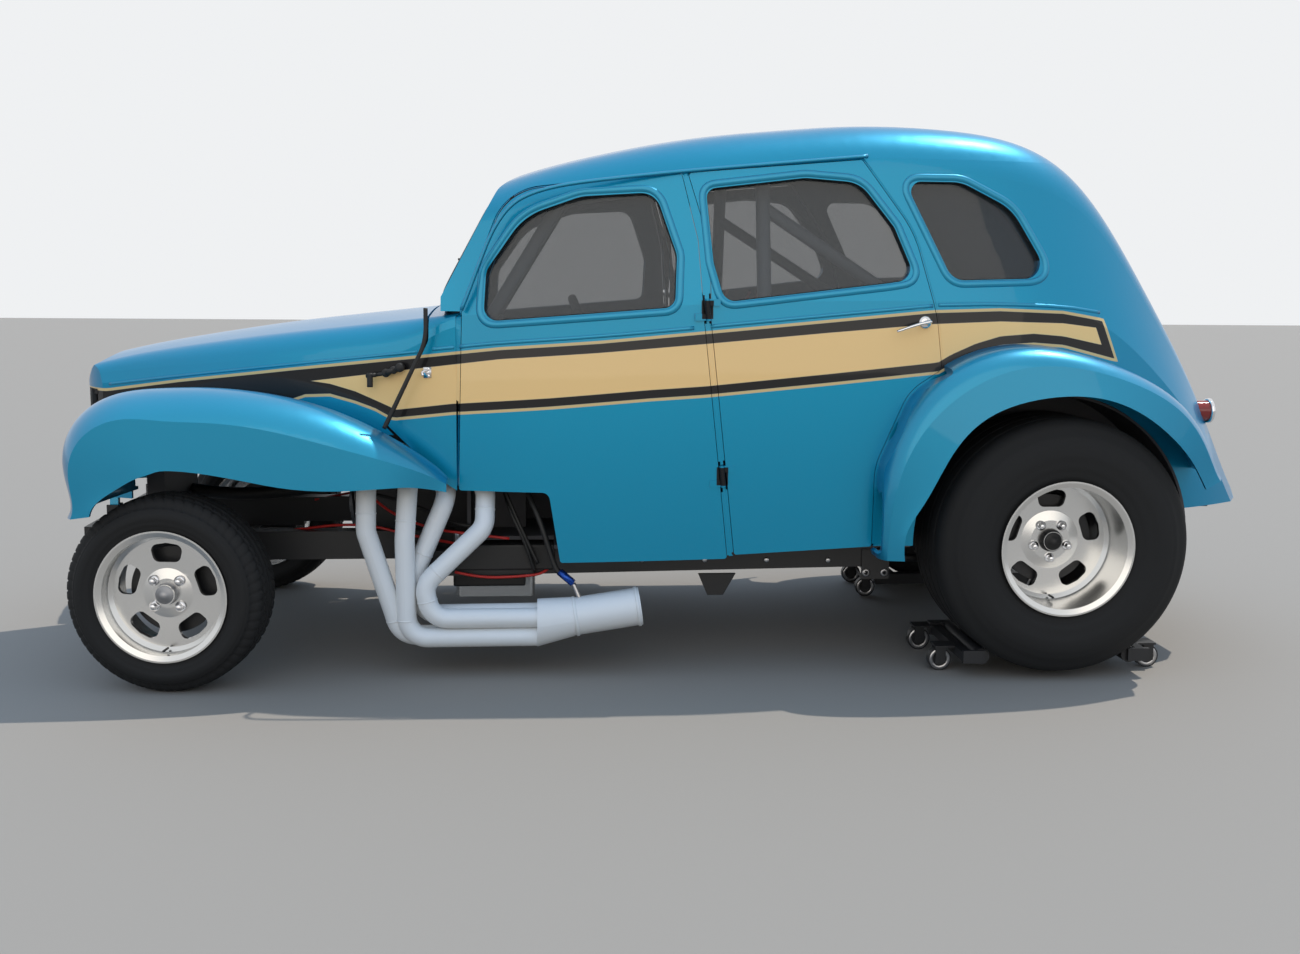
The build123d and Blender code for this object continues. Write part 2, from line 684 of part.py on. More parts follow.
with BuildPart() as floor_pan:
    add(box(-740, 150, -602, 602, floor_z, floor_z + 12))
    add(box(150, 380, -584, 584, floor_z, floor_z + 12))
    add(box(380, 652, -toe_half, toe_half, floor_z, floor_z + 12))
    with BuildSketch(Plane.YZ.offset(640)):
        with BuildLine():
            Polyline(
                (-toe_half, 590), (toe_half, 590), (toe_half, 660), (firewall_half, 700),
                (firewall_half, 1030), (500, 1076), (0, 1102), (-500, 1076), (-firewall_half, 1030),
                (-firewall_half, 700), (-toe_half, 660), close=True,
            )
        make_face()
    extrude(amount=12)
    add(box(640, 652, -toe_half, toe_half, floor_z, 600))
    add(box(470, 652, -290, 290, floor_z, 900))
    add(box(-560, 480, -134, 134, floor_z, 600))
    add(slab(rear_floor_edge, -tub_y, tub_y))
    for side in (-1, 1):
        tub = rod((rear_axle_x, side * tub_y, arch_z), (rear_axle_x, side * 596, arch_z), arch_r - seat)
        add(tub & box(-1700, -700, -700, 700, floor_z, 1000))
    add(hollow.part, mode=Mode.SUBTRACT)
    add(slab(rear_rail_edge, -365, -315), mode=Mode.SUBTRACT)
    add(slab(rear_rail_edge, 315, 365), mode=Mode.SUBTRACT)

# Engine as one plain block with its heads, and what hangs on it
head_face_y = 260
with BuildPart() as engine_block:
    add(box(560, 1035, -190, 190, 370, 880))
    add(box(590, 1010, -head_face_y, head_face_y, 560, 740))
    add(rod((430, 0, 450), (562, 0, 450), 130))
with BuildPart() as oil_pan:
    add(box(441, 708, -150, 150, 141, 228))
    fillet(oil_pan.edges().filter_by(Axis.Z), 18)
    add(box(565, 700, -120, 120, 228, 370))
with BuildPart() as radiator:
    add(box(1642, 1698, -205, 205, 425, 800))
    add(box(1636, 1704, -215, 215, 425, 470))
    add(box(1636, 1704, -215, 215, 770, 815))
axle_nose = 190
with BuildPart() as driveline:
    add(box(60, 430, -95, 95, 350, 560))
    add(rod((60, 0, 440), (-150, 0, 440), 60))
    add(rod((-150, 0, 440), (-990, 0, 425), 34))
    add(box(-1000, rear_axle_x + axle_nose + seat, -40, 40, 380, 470), mode=Mode.SUBTRACT)

# Headers: runs given at each bend as x, y, z
header_r = 30
header_bend = 66
header_runs = [
    [(938, 250, 640), (946, 585, 600), (946, 600, 455), (846, 578, 127), (430, 560, 132)],
    [(830, 250, 640), (822, 572, 600), (832, 594, 430), (827, 602, 126), (430, 608, 128)],
    [(750, 250, 640), (708, 530, 548), (803, 552, 325), (790, 552, 186), (430, 560, 190)],
    [
        (690, 250, 640), (690, 468, 612), (590, 512, 592), (592, 572, 462), (776, 606, 290),
        (752, 612, 187), (430, 612, 187),
    ],
]
with BuildPart() as header:
    for run in header_runs:
        add(bent_tube(run, header_bend, header_r))
    add(box(560, 1060, 200, head_face_y + seat, 560, 740), mode=Mode.SUBTRACT)
    with BuildSketch(Plane.YZ.offset(432)):
        with Locations((592, 166)):
            Ellipse(62, 74)
    with BuildSketch(Plane.YZ.offset(318)):
        with Locations((600, 186)):
            Circle(60)
    loft()
    add(rod((330, 600, 184.5), (115, 600, 217), 58))
    add(rod((250, 600, 197), (110, 600, 218), 54), mode=Mode.SUBTRACT)

# Front axle, kingpins and steering
kingpin_y = 575
axle_z = 285
eye_back = 110
rest_steer = -6.6
with BuildPart() as front_axle:
    add(rod((front_axle_x, -kingpin_y, axle_z), (front_axle_x, kingpin_y, axle_z), 24))
    for side in (-1, 1):
        y = side * kingpin_y
        add(rod((front_axle_x, y, 256), (front_axle_x, y, 314), 26))
        add(rod((front_axle_x, y, 226), (front_axle_x, y, 344), 10))
        add(box(1290, 1710, side * rail_y - 24, side * rail_y + 24, 304, rail_z - 45))

with BuildPart() as knuckle:
    for z0, z1 in ((226, 254), (316, 344)):
        add(rod((front_axle_x, kingpin_y, z0), (front_axle_x, kingpin_y, z1), 26))
        add(box(front_axle_x - 26, front_axle_x + 26, kingpin_y, 610, z0, z1))
    add(box(front_axle_x - 36, front_axle_x + 36, 606, 622, 226, 344))
    add(rod((front_axle_x, 621, front_hub_z), (front_axle_x, 628, front_hub_z), 130))
    add(rod((front_axle_x, 620, front_hub_z), (front_axle_x, 673 - seat, front_hub_z), 20))
    add(beam((front_axle_x - 10, kingpin_y, 242), (front_axle_x - eye_back, kingpin_y, 242), 24, 14))
    add(rod((front_axle_x - eye_back, kingpin_y, 235), (front_axle_x - eye_back, kingpin_y, 249), 18))
    add(rod((front_axle_x - eye_back, kingpin_y, 200), (front_axle_x - eye_back, kingpin_y, 240), 7))
    pin_bore = rod((front_axle_x, kingpin_y, 220), (front_axle_x, kingpin_y, 350), 10 + pin_clear)
    add(pin_bore, mode=Mode.SUBTRACT)


def steered(shape, side):
    """A left piece, or its twin, turned about its kingpin as the wheels stand in the photo."""
    shape = shape if side > 0 else other_side(shape)
    return shape.rotate(Axis((front_axle_x, side * kingpin_y, 0), (0, 0, 1)), rest_steer)


eye_x = front_axle_x - eye_back * cos(radians(rest_steer))
eye_shift = -eye_back * sin(radians(rest_steer))
with BuildPart() as tie_rod:
    add(rod((eye_x, -kingpin_y + eye_shift, 214), (eye_x, kingpin_y + eye_shift, 214), 12))
    for side in (-1, 1):
        y = side * kingpin_y + eye_shift
        add(rod((eye_x, y, 200), (eye_x, y, 228), 17))
        add(rod((eye_x, y, 190), (eye_x, y, 230), 7 + pin_clear), mode=Mode.SUBTRACT)

# Wheels. Rings are turned about the hub, given as radius and distance out from the wheel's middle
front_rim = dict(
    flange=front_flange_r, half=91, barrel=184, face=34, lugs=4, lug_pcd=108, hub=44, spindle=20,
    depth=28, inner=-10,
)
rear_rim = dict(
    flange=rear_flange_r, half=171, barrel=196, face=22, lugs=5, lug_pcd=114, hub=62, spindle=22,
    depth=14, inner=0,
)


def wheel_tyre(radius, half, bead, bead_half, shoulder):
    """A tyre: a bulged wall and a rounded shoulder on each side of a slightly crowned tread."""
    side_r = bead + (radius - bead) * 0.45
    wall_top = (half - shoulder * 0.45, radius - shoulder * 0.8)
    corner = (half - shoulder * 0.85, radius - shoulder * 0.22)
    tread = (half - shoulder * 1.4, radius - 2)
    with BuildPart() as ring:
        with BuildSketch(Plane.YZ):
            with BuildLine():
                Line((-bead_half, bead), (bead_half, bead))
                for way in (1, -1):
                    top = (way * wall_top[0], wall_top[1])
                    ThreePointArc((way * bead_half, bead), (way * half, side_r), top)
                    ThreePointArc(top, (way * corner[0], corner[1]), (way * tread[0], tread[1]))
                ThreePointArc(tread, (0, radius), (-tread[0], tread[1]))
            make_face()
        revolve(axis=Axis.Y)
    return ring.part


def wheel_rim(flange, half, barrel, face, lugs, lug_pcd, hub, spindle, depth, inner):
    with BuildPart() as rim:
        with BuildSketch(Plane.YZ):
            with BuildLine():
                Polyline(
                    (-half, flange), (-half + 5, flange), (-half + 7, barrel), (half - 7, barrel),
                    (half - 5, flange), (half, flange), (half, flange - 5), (half - 8, barrel - 8),
                    (face + 10, barrel - 10), (face, barrel - 22), (face - 4, hub + 30), (face + 2, hub),
                    (face + 2, 0), (depth, 0), (depth, spindle + pin_clear), (inner, spindle + pin_clear),
                    (inner, hub), (face - 16, hub + 4), (face - 14, barrel - 20), (face - 8, barrel - 10),
                    (-half + 8, barrel - 8), (-half, flange - 5), close=True,
                )
            make_face()
        revolve(axis=Axis.Y)
        for i in range(5):
            turn = radians(90 + 72 * i)
            plane = Plane(origin=(0, face + 30, 0), x_dir=(cos(turn), 0, sin(turn)), z_dir=(0, -1, 0))
            with BuildSketch(plane) as slot:
                with BuildLine():
                    Polyline(*slot_corners(barrel), close=True)
                make_face()
                fillet(slot.vertices(), 20)
            extrude(amount=60, mode=Mode.SUBTRACT)
        for i in range(lugs):
            turn = radians(90 + 360 / lugs * (i + 0.5))
            x, z = lug_pcd / 2 * cos(turn), lug_pcd / 2 * sin(turn)
            add(rod((x, face - 2, z), (x, face + 12, z), 9))
        add(rod((0, face, 0), (0, face + 26, 0), 30))
    return rim.part


def slot_corners(barrel):
    """One slot close to the rim, wider along the rim than it is deep."""
    low, high = barrel - 92, barrel - 42
    return [(low, -38), (high, -50), (high + 8, 0), (high, 50), (low, 38)]


front_tyre = wheel_tyre(front_tyre_r, front_tyre_w / 2, 184.3, 74, 34)
rear_tyre = wheel_tyre(rear_tyre_r, rear_tyre_w / 2, 196.3, 150, 44)
front_wheel = wheel_rim(**front_rim)
rear_wheel = wheel_rim(**rear_rim)
front_place = Location((front_axle_x, front_wheel_y, front_hub_z))
rear_place = Location((rear_axle_x, rear_wheel_y, rear_hub_z))

# Rear axle and what holds it
with BuildPart() as rear_axle:
    add(rod((rear_axle_x, -592, rear_hub_z), (rear_axle_x, 592, rear_hub_z), axle_r))
    add(rod((rear_axle_x, -60, rear_hub_z), (rear_axle_x, 60, rear_hub_z), 140))
    add(rod((rear_axle_x, 0, rear_hub_z), (rear_axle_x + axle_nose, 0, rear_hub_z), 60))
    for side in (-1, 1):
        add(rod((rear_axle_x, side * 540, rear_hub_z), (rear_axle_x, side * 588, rear_hub_z), 140))
        add(rod((rear_axle_x, side * 580, rear_hub_z), (rear_axle_x, side * 608, rear_hub_z), 22))
with BuildPart() as rear_suspension:
    for side in (-1, 1):
        y = side * link_y
        add(rod((rear_axle_x, y, 305), (-660.2, y, 318), 13))
        add(rod((rear_axle_x, y, 520), (-660.2, y, 362), 13))
        low, high = sorted((y - 7, y + 7))
        add(box(rear_axle_x - 34, rear_axle_x + 34, low, high, 286, 540))
        add(rod((rear_axle_x - 62, side * 260, 380), (rear_axle_x - 62, side * 260, 601.8), 30))
    add(box(-660 - seat, -600, -460, 460, 280, 420), mode=Mode.SUBTRACT)
    axle_tube = rod((rear_axle_x, -450, rear_hub_z), (rear_axle_x, 450, rear_hub_z), axle_r + seat)
    add(axle_tube, mode=Mode.SUBTRACT)

# Cabin
main_hoop = [(-556, 407), (-556, 1180), (-470, 1596), (470, 1596), (556, 1180), (556, 407)]
front_bar = [(-260, 440, 1590), (330, 440, 1500), (598, 450, 1060), (598, 450, 407)]
with BuildPart() as roll_cage:
    add(bent_tube([(-260, y, z) for y, z in main_hoop], 90, 22))
    for side in (-1, 1):
        add(bent_tube([(x, side * y, z) for x, y, z in front_bar], 90, 20))
        add(rod((-260, side * 500, 1440), (-1190, side * 430, 850), 20))
        tub = rod((rear_axle_x, side * 340, arch_z), (rear_axle_x, side * 600, arch_z), arch_r)
        add(tub, mode=Mode.SUBTRACT)

seat_edge = [
    (330, 430, 30), (380, 540, 30), (300, 590, 60), (40, 545, 60), (-130, 1000, 40), (-205, 1010, 40),
    (-190, 800, 60), (-60, 430, 40),
]
bolster_edge = [
    (320, 440, 20), (330, 620, 40), (60, 640, 60), (-100, 940, 30), (-190, 920, 30), (-60, 440, 20),
]
with BuildPart() as seats:
    for side in (-1, 1):
        y = side * 345
        add(slab(seat_edge, y - 190, y + 190))
        for x in (-20, 280):
            add(box(x - 25, x + 25, y - 160, y + 160, 407, 450))
        for edge_y in (y - 182, y + 182):
            add(slab(bolster_edge, edge_y - 22, edge_y + 22))

wheel_tilt = Vector(-350, 0, 127).normalized()
column_y = 350
column_foot = Vector(640, column_y, 862)
wheel_centre = column_foot + wheel_tilt * 400
with BuildPart() as dashboard:
    add(box(560, 640, -530, 530, 950, 1080))
    fillet(dashboard.edges().filter_by(Axis.Y), 14)
    add(rod(column_foot, column_foot + wheel_tilt * 370, 20))
    add(rod(column_foot + wheel_tilt * 360, column_foot + wheel_tilt * 398, 9))
    add(box(560, 640, column_y - 20, column_y + 20, 850, 955))
    for side in (-1, 1):
        add(bent_tube([(x, side * y, z) for x, y, z in front_bar], 90, 20 + seat), mode=Mode.SUBTRACT)
    add(box(640 - seat, 700, 300, 400, 800, 960), mode=Mode.SUBTRACT)
with BuildPart() as steering_wheel:
    plane = Plane(origin=wheel_centre, z_dir=wheel_tilt)
    with Locations(plane):
        Torus(165, 14)
    add(rod(wheel_centre - wheel_tilt * 24, wheel_centre + wheel_tilt * 12, 28))
    for turn in (90, 210, 330):
        tip = wheel_centre + (plane.x_dir * cos(radians(turn)) + plane.y_dir * sin(radians(turn))) * 160
        add(rod(wheel_centre, tip, 8))
    add(rod(wheel_centre - wheel_tilt * 30, wheel_centre + wheel_tilt * 2, 9 + pin_clear), mode=Mode.SUBTRACT)

# Wheel dollies under the rear wheels
roller_r = 25
roller_reach = 236
roller_z = 70
caster_r = 37
with BuildPart() as dolly:
    for way in (-1, 1):
        x = rear_axle_x + way * roller_reach
        outer = x + way * 46
        add(rod((x, 380, roller_z), (x, 704, roller_z), roller_r))
        low, high = sorted((outer - way * 14, outer + way * 14))
        add(box(low, high, 340, 716, 56, 84))
        low, high = sorted((x - way * 8, outer + way * 14))
        add(box(low, high, 704, 716, 52, 92))
        for caster_y in (366, 600):
            low, high = sorted((outer, outer + way * 76))
            add(box(low, high, caster_y - 30, caster_y + 30, 78, 84))
            hub_x = outer + way * 56
            for reach, r in ((12, caster_r), (24, 7)):
                add(rod((hub_x, caster_y - reach, caster_r), (hub_x, caster_y + reach, caster_r), r))
            for cheek in (-20, 20):
                low, high = sorted((outer + way * 40, outer + way * 72))
                add(box(low, high, caster_y + cheek - 3, caster_y + cheek + 3, 26, 80))
    add(box(rear_axle_x - 300, rear_axle_x + 300, 340, 380, 50, 90))
    add(rod((rear_axle_x + 90, 352, 90), (rear_axle_x + 130, 322, 180), 9))
    add(box(rear_axle_x + 108, rear_axle_x + 152, 296, 348, 176, 184))

with BuildPart() as tail_lamp:
    add(rod((-1790, 372, 800), (-1690, 372, 800), 34))
    add(cab_outer, mode=Mode.SUBTRACT)

two_sided = {
    "front_fenders": Compound(children=[front_fender.part, nose_side.part]),
    "headlamps": headlamp.part, "rear_fenders": rear_fender.part, "headers": header.part,
    "rear_dollies": dolly.part, "tail_lamps": tail_lamp.part,
}
for name, shape in two_sided.items():
    save(left_and_right(shape), name)
single = {
    "hood": hood, "grille": grille, "chassis_frame": chassis_frame, "floor_pan": floor_pan,
    "engine_block": engine_block, "oil_pan": oil_pan, "radiator": radiator, "driveline": driveline,
    "front_axle": front_axle, "tie_rod": tie_rod, "rear_axle": rear_axle,
    "rear_suspension": rear_suspension, "roll_cage": roll_cage, "seats": seats,
    "dashboard": dashboard, "steering_wheel": steering_wheel,
}
for name, shape in single.items():
    save(shape.part, name)
for side, word in ((1, "left"), (-1, "right")):
    save(steered(knuckle.part, side), f"knuckle_{word}")
    save(steered(front_tyre.moved(front_place), side), f"tyre_front_{word}")
    save(steered(front_wheel.moved(front_place), side), f"rim_front_{word}")
    for part, name in ((rear_tyre, "tyre_rear"), (rear_wheel, "rim_rear")):
        placed = part.moved(rear_place)
        save(placed if side > 0 else other_side(placed), f"{name}_{word}")
save(cowl.part, "cowl")
save(roof_shell.part, "roof_shell")
save(left_and_right(post.part), "b_posts")
save(left_and_right(quarter.part), "quarter_panels")
save(tail_panel.part, "tail_panel")
save(boot_lid.part, "boot_lid")
save(front_door, "door_front_left")
save(other_side(front_door), "door_front_right")
save(rear_door, "door_rear_left")
save(other_side(rear_door), "door_rear_right")
for place, window in (("front", front_window_edge), ("rear", rear_window_edge)):
    glass = pane(window)
    save(glass, f"glass_{place}_left")
    save(other_side(glass), f"glass_{place}_right")
windscreen = screen_slab(18, 24, seat)
fixed_panes = [quarter_glass, other_side(quarter_glass), windscreen, back_glass.part]
save(Compound(children=fixed_panes), "fixed_glass")
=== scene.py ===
import bpy
import json
import math
import numpy as np
from mathutils import Matrix, Vector
from mathutils.bvhtree import BVHTree
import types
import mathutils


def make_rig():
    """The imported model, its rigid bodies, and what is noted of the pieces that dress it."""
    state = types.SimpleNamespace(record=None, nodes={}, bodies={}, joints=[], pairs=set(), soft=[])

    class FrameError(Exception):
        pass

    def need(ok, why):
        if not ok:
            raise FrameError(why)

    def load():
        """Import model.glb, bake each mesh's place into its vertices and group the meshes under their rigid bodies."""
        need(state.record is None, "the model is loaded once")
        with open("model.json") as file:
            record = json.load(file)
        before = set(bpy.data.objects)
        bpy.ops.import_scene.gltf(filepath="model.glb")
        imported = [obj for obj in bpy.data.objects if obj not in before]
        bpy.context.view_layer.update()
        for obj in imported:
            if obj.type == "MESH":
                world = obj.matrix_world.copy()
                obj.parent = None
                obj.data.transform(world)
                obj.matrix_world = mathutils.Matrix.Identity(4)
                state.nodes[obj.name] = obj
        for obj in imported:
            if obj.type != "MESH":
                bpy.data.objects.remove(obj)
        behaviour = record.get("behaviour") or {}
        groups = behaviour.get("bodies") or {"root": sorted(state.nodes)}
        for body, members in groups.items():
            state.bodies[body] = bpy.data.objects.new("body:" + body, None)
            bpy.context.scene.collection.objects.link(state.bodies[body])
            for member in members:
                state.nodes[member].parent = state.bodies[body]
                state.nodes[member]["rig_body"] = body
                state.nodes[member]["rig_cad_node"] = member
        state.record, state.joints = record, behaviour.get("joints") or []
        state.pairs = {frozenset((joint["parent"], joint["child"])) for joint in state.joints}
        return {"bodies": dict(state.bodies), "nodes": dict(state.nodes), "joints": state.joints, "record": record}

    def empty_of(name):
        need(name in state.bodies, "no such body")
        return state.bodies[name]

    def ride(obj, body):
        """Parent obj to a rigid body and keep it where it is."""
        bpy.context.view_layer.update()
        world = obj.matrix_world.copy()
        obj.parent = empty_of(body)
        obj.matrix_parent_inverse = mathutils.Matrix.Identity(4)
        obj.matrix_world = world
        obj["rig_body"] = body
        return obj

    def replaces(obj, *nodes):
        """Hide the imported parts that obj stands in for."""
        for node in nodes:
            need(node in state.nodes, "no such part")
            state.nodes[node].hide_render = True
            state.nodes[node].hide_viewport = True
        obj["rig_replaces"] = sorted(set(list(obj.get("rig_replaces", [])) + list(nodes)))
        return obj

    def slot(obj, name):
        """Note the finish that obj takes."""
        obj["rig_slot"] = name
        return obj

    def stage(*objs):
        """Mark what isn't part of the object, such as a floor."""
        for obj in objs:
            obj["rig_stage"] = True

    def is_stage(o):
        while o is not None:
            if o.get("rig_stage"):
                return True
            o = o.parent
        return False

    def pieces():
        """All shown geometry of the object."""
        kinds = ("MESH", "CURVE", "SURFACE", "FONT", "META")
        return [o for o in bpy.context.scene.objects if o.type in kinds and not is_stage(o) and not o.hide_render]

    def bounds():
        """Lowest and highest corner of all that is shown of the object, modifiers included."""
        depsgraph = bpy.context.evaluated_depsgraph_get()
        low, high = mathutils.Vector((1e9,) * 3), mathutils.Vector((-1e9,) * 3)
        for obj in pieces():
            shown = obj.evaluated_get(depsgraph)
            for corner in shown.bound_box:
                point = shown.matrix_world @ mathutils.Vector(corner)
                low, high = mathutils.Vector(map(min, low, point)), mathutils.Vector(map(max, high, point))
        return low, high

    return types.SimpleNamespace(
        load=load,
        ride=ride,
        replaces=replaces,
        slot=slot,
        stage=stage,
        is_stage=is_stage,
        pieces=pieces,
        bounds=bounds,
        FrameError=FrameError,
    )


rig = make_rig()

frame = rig.load()


def writeSizes(path, sizes):
    with open(path, "w") as out:
        json.dump(sizes, out)


def boundsList():
    low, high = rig.bounds()
    return [list(low), list(high)]


sizes = {"cad": boundsList()}
writeSizes("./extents.json", sizes)
print("frame loaded", sizes["cad"])


# Mesh helpers
def newPiece(name, points, faces, body, material, smooth=True):
    mesh = bpy.data.meshes.new(name)
    mesh.from_pydata([tuple(p) for p in np.asarray(points, float)], [],
                     [tuple(int(i) for i in f) for f in faces])
    mesh.update()
    if smooth:
        mesh.polygons.foreach_set("use_smooth", np.ones(len(mesh.polygons), bool))
    obj = bpy.data.objects.new(name, mesh)
    bpy.context.scene.collection.objects.link(obj)
    mesh.materials.append(material)
    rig.ride(obj, body)
    return obj


def gridFaces(rows, columns, wrapRows=False, wrapColumns=False):
    i, j = np.meshgrid(np.arange(rows if wrapRows else rows - 1),
                       np.arange(columns if wrapColumns else columns - 1), indexing="ij")
    a = i * columns + j
    b = i * columns + (j + 1) % columns
    c = ((i + 1) % rows) * columns + (j + 1) % columns
    d = ((i + 1) % rows) * columns + j
    return np.stack([a, b, c, d], -1).reshape(-1, 4).tolist()


def joined(parts):
    points, faces, count = [], [], 0
    for p, f in parts:
        p = np.asarray(p, float)
        points.append(p)
        faces += [[i + count for i in face] for face in f]
        count += len(p)
    return np.concatenate(points), faces


def otherSide(part):
    points, faces = part
    points = np.asarray(points, float) * (1, -1, 1)
    return points, [list(reversed(f)) for f in faces]


def bothSides(part):
    return joined([part, otherSide(part)])


def resample(path, count, closed=False):
    path = np.asarray(path, float)
    if closed:
        path = np.vstack([path, path[:1]])
    step = np.linalg.norm(np.diff(path, axis=0), axis=1)
    run = np.concatenate([[0], np.cumsum(step)])
    at = np.linspace(0, run[-1], count, endpoint=not closed)
    return np.stack([np.interp(at, run, path[:, k]) for k in range(path.shape[1])], 1)


def smoothed(path, rounds=2, closed=False):
    # Corner cutting: each edge gives points a quarter and three quarters along it.
    path = np.asarray(path, float)
    for _ in range(rounds):
        after = np.roll(path, -1, axis=0) if closed else path[1:]
        before = path if closed else path[:-1]
        cut = np.stack([before * 0.75 + after * 0.25, before * 0.25 + after * 0.75], 1)
        cut = cut.reshape(-1, path.shape[1])
        path = cut if closed else np.vstack([path[:1], cut, path[-1:]])
    return path


def sweep(path, profile, up, closed=False):
    # Point (i, j) = path i + profile j across along the side direction and along the up direction.
    path = np.asarray(path, float)
    profile = np.asarray(profile, float)
    tangent = np.roll(path, -1, 0) - np.roll(path, 1, 0) if closed else np.gradient(path, axis=0)
    tangent /= np.linalg.norm(tangent, axis=1)[:, None] + 1e-12
    up = np.broadcast_to(np.asarray(up, float), path.shape)
    side = np.cross(tangent, up)
    side /= np.linalg.norm(side, axis=1)[:, None] + 1e-12
    rise = np.cross(side, tangent)
    points = path[:, None] + side[:, None] * profile[None, :, :1] + rise[:, None] * profile[None, :, 1:]
    rows, columns = len(path), len(profile)
    faces = gridFaces(rows, columns, closed, True)
    if not closed:
        faces += [list(range(columns))[::-1], list(range((rows - 1) * columns, rows * columns))]
    return points.reshape(-1, 3), faces


def tube(path, radius, sides):
    turn = np.linspace(0, 2 * math.pi, sides, endpoint=False)
    ring = np.stack([np.cos(turn), np.sin(turn)], 1) * radius
    path = np.asarray(path, float)
    run = path[-1] - path[0]
    up = (0, 0, 1) if abs(run[2]) < 0.9 * np.linalg.norm(run) else (0, 1, 0)
    return sweep(path, ring, up)


onAxis = 0.0001  # radius of a turned profile's end on the axis


def spun(centre, axis, turns, radius, along):
    # Point (i, j) = centre + axis * along j + (cos, sin of turn i) * radius i, j.
    axis = Vector(axis).normalized()
    across = axis.orthogonal().normalized()
    other = axis.cross(across)
    turn = np.linspace(0, 2 * math.pi, turns, endpoint=False)
    radial = np.outer(np.cos(turn), across) + np.outer(np.sin(turn), other)
    forward = np.asarray(axis)[None, None] * along[None, :, None]
    return np.asarray(centre, float) + radial[:, None] * radius[..., None] + forward


def lathe(profile, centre, axis, sides=64, closedProfile=False):
    # A profile of radius, along rows turned about the axis.
    profile = np.asarray(profile, float)
    points = spun(centre, axis, sides, profile[None, :, 0], profile[:, 1])
    return points.reshape(-1, 3), gridFaces(sides, len(profile), True, closedProfile)


boxFaces = [[3, 2, 1, 0], [4, 5, 6, 7], [0, 1, 5, 4], [1, 2, 6, 5], [2, 3, 7, 6], [3, 0, 4, 7]]


def block(low, high):
    x0, y0, z0 = low
    x1, y1, z1 = high
    foot = [(x0, y0), (x1, y0), (x1, y1), (x0, y1)]
    return np.array([(x, y, z) for z in (z0, z1) for x, y in foot]), boxFaces


def bolt(centre, axis, radius, height, sides=6):
    # A low turned head whose edge is taken off.
    profile = [(onAxis, height), (radius * 0.85, height), (radius, height * 0.8), (radius, 0), (onAxis, 0)]
    return lathe(profile, centre, axis, sides)


def beveled(obj, width, segments=2):
    bevel = obj.modifiers.new("bevel", "BEVEL")
    bevel.width = width
    bevel.segments = segments
    bevel.limit_method = "ANGLE"


# Where the CAD surfaces are
trees = {}
rayFrom = 1.5
besideY = 0.6


def treeOf(nodes):
    if nodes not in trees:
        points, faces = [], []
        for name in nodes:
            mesh = frame["nodes"][name].data
            start = len(points)
            points += [tuple(v.co) for v in mesh.vertices]
            faces += [tuple(start + i for i in p.vertices) for p in mesh.polygons]
        trees[nodes] = BVHTree.FromPolygons(points, faces)
    return trees[nodes]


def sideY(nodes, x, z):
    # How far out the nodes' left side is at x, z, or None beside them.
    spot = treeOf(nodes).ray_cast(Vector((x, rayFrom, z)), Vector((0, -1, 0)))[0]
    return spot.y if spot is not None and spot.y > 0 else None


def onSide(nodes, outline, out):
    # x, z points laid on the left side of the nodes; a missed point takes its neighbours' depth.
    found = [sideY(nodes, x, z) for x, z in outline]
    known = [i for i, y in enumerate(found) if y is not None]
    if not known:
        return np.array([(x, besideY + out, z) for x, z in outline])
    depth = np.interp(range(len(outline)), known, [found[i] for i in known])
    return np.array([(x, y + out, z) for (x, z), y in zip(outline, depth)])


# Materials
def nodeGroup(name, inputs, outputs):
    group = bpy.data.node_groups.new(name, "ShaderNodeTree")
    for label, kind in inputs:
        group.interface.new_socket(label, in_out="INPUT", socket_type=kind)
    for label, kind in outputs:
        group.interface.new_socket(label, in_out="OUTPUT", socket_type=kind)
    return group, group.nodes.new("NodeGroupInput"), group.nodes.new("NodeGroupOutput")


def mathNode(tree, operation, a, b=None, clamp=False):
    node = tree.nodes.new("ShaderNodeMath")
    node.operation = operation
    node.use_clamp = clamp
    for socket, value in zip(node.inputs, (a, b)):
        if value is None:
            continue
        if isinstance(value, (int, float)):
            socket.default_value = value
        else:
            tree.links.new(value, socket)
    return node.outputs[0]


def curveNode(tree, value, table, low, high):
    # z from x through the table's points in mm, for x within reach metres of the middle.
    reach = 2.0
    share = mathNode(tree, "DIVIDE", mathNode(tree, "ADD", value, reach), 2 * reach)
    node = tree.nodes.new("ShaderNodeFloatCurve")
    curve = node.mapping.curves[0]
    rows = sorted(table)
    end = reach * 1000 - 1
    rows = [(-end, rows[0][1])] + rows + [(end, rows[-1][1])]
    for _ in range(len(rows) - 2):
        curve.points.new(0.5, 0.5)
    for point, (x, z) in zip(curve.points, rows):
        point.location = ((x / 1000 + reach) / (2 * reach), (z / 1000 - low) / (high - low))
        point.handle_type = "VECTOR"
    node.mapping.update()
    tree.links.new(share, node.inputs["Value"])
    return mathNode(tree, "ADD", mathNode(tree, "MULTIPLY", node.outputs[0], high - low), low)


def mixColour(tree, mask, a, b):
    node = tree.nodes.new("ShaderNodeMix")
    node.data_type = "RGBA"
    tree.links.new(mask, node.inputs["Factor"])
    for socket, value in ((node.inputs[6], a), (node.inputs[7], b)):
        if isinstance(value, tuple):
            socket.default_value = value + (1.0,)
        else:
            tree.links.new(value, socket)
    return node.outputs[2]


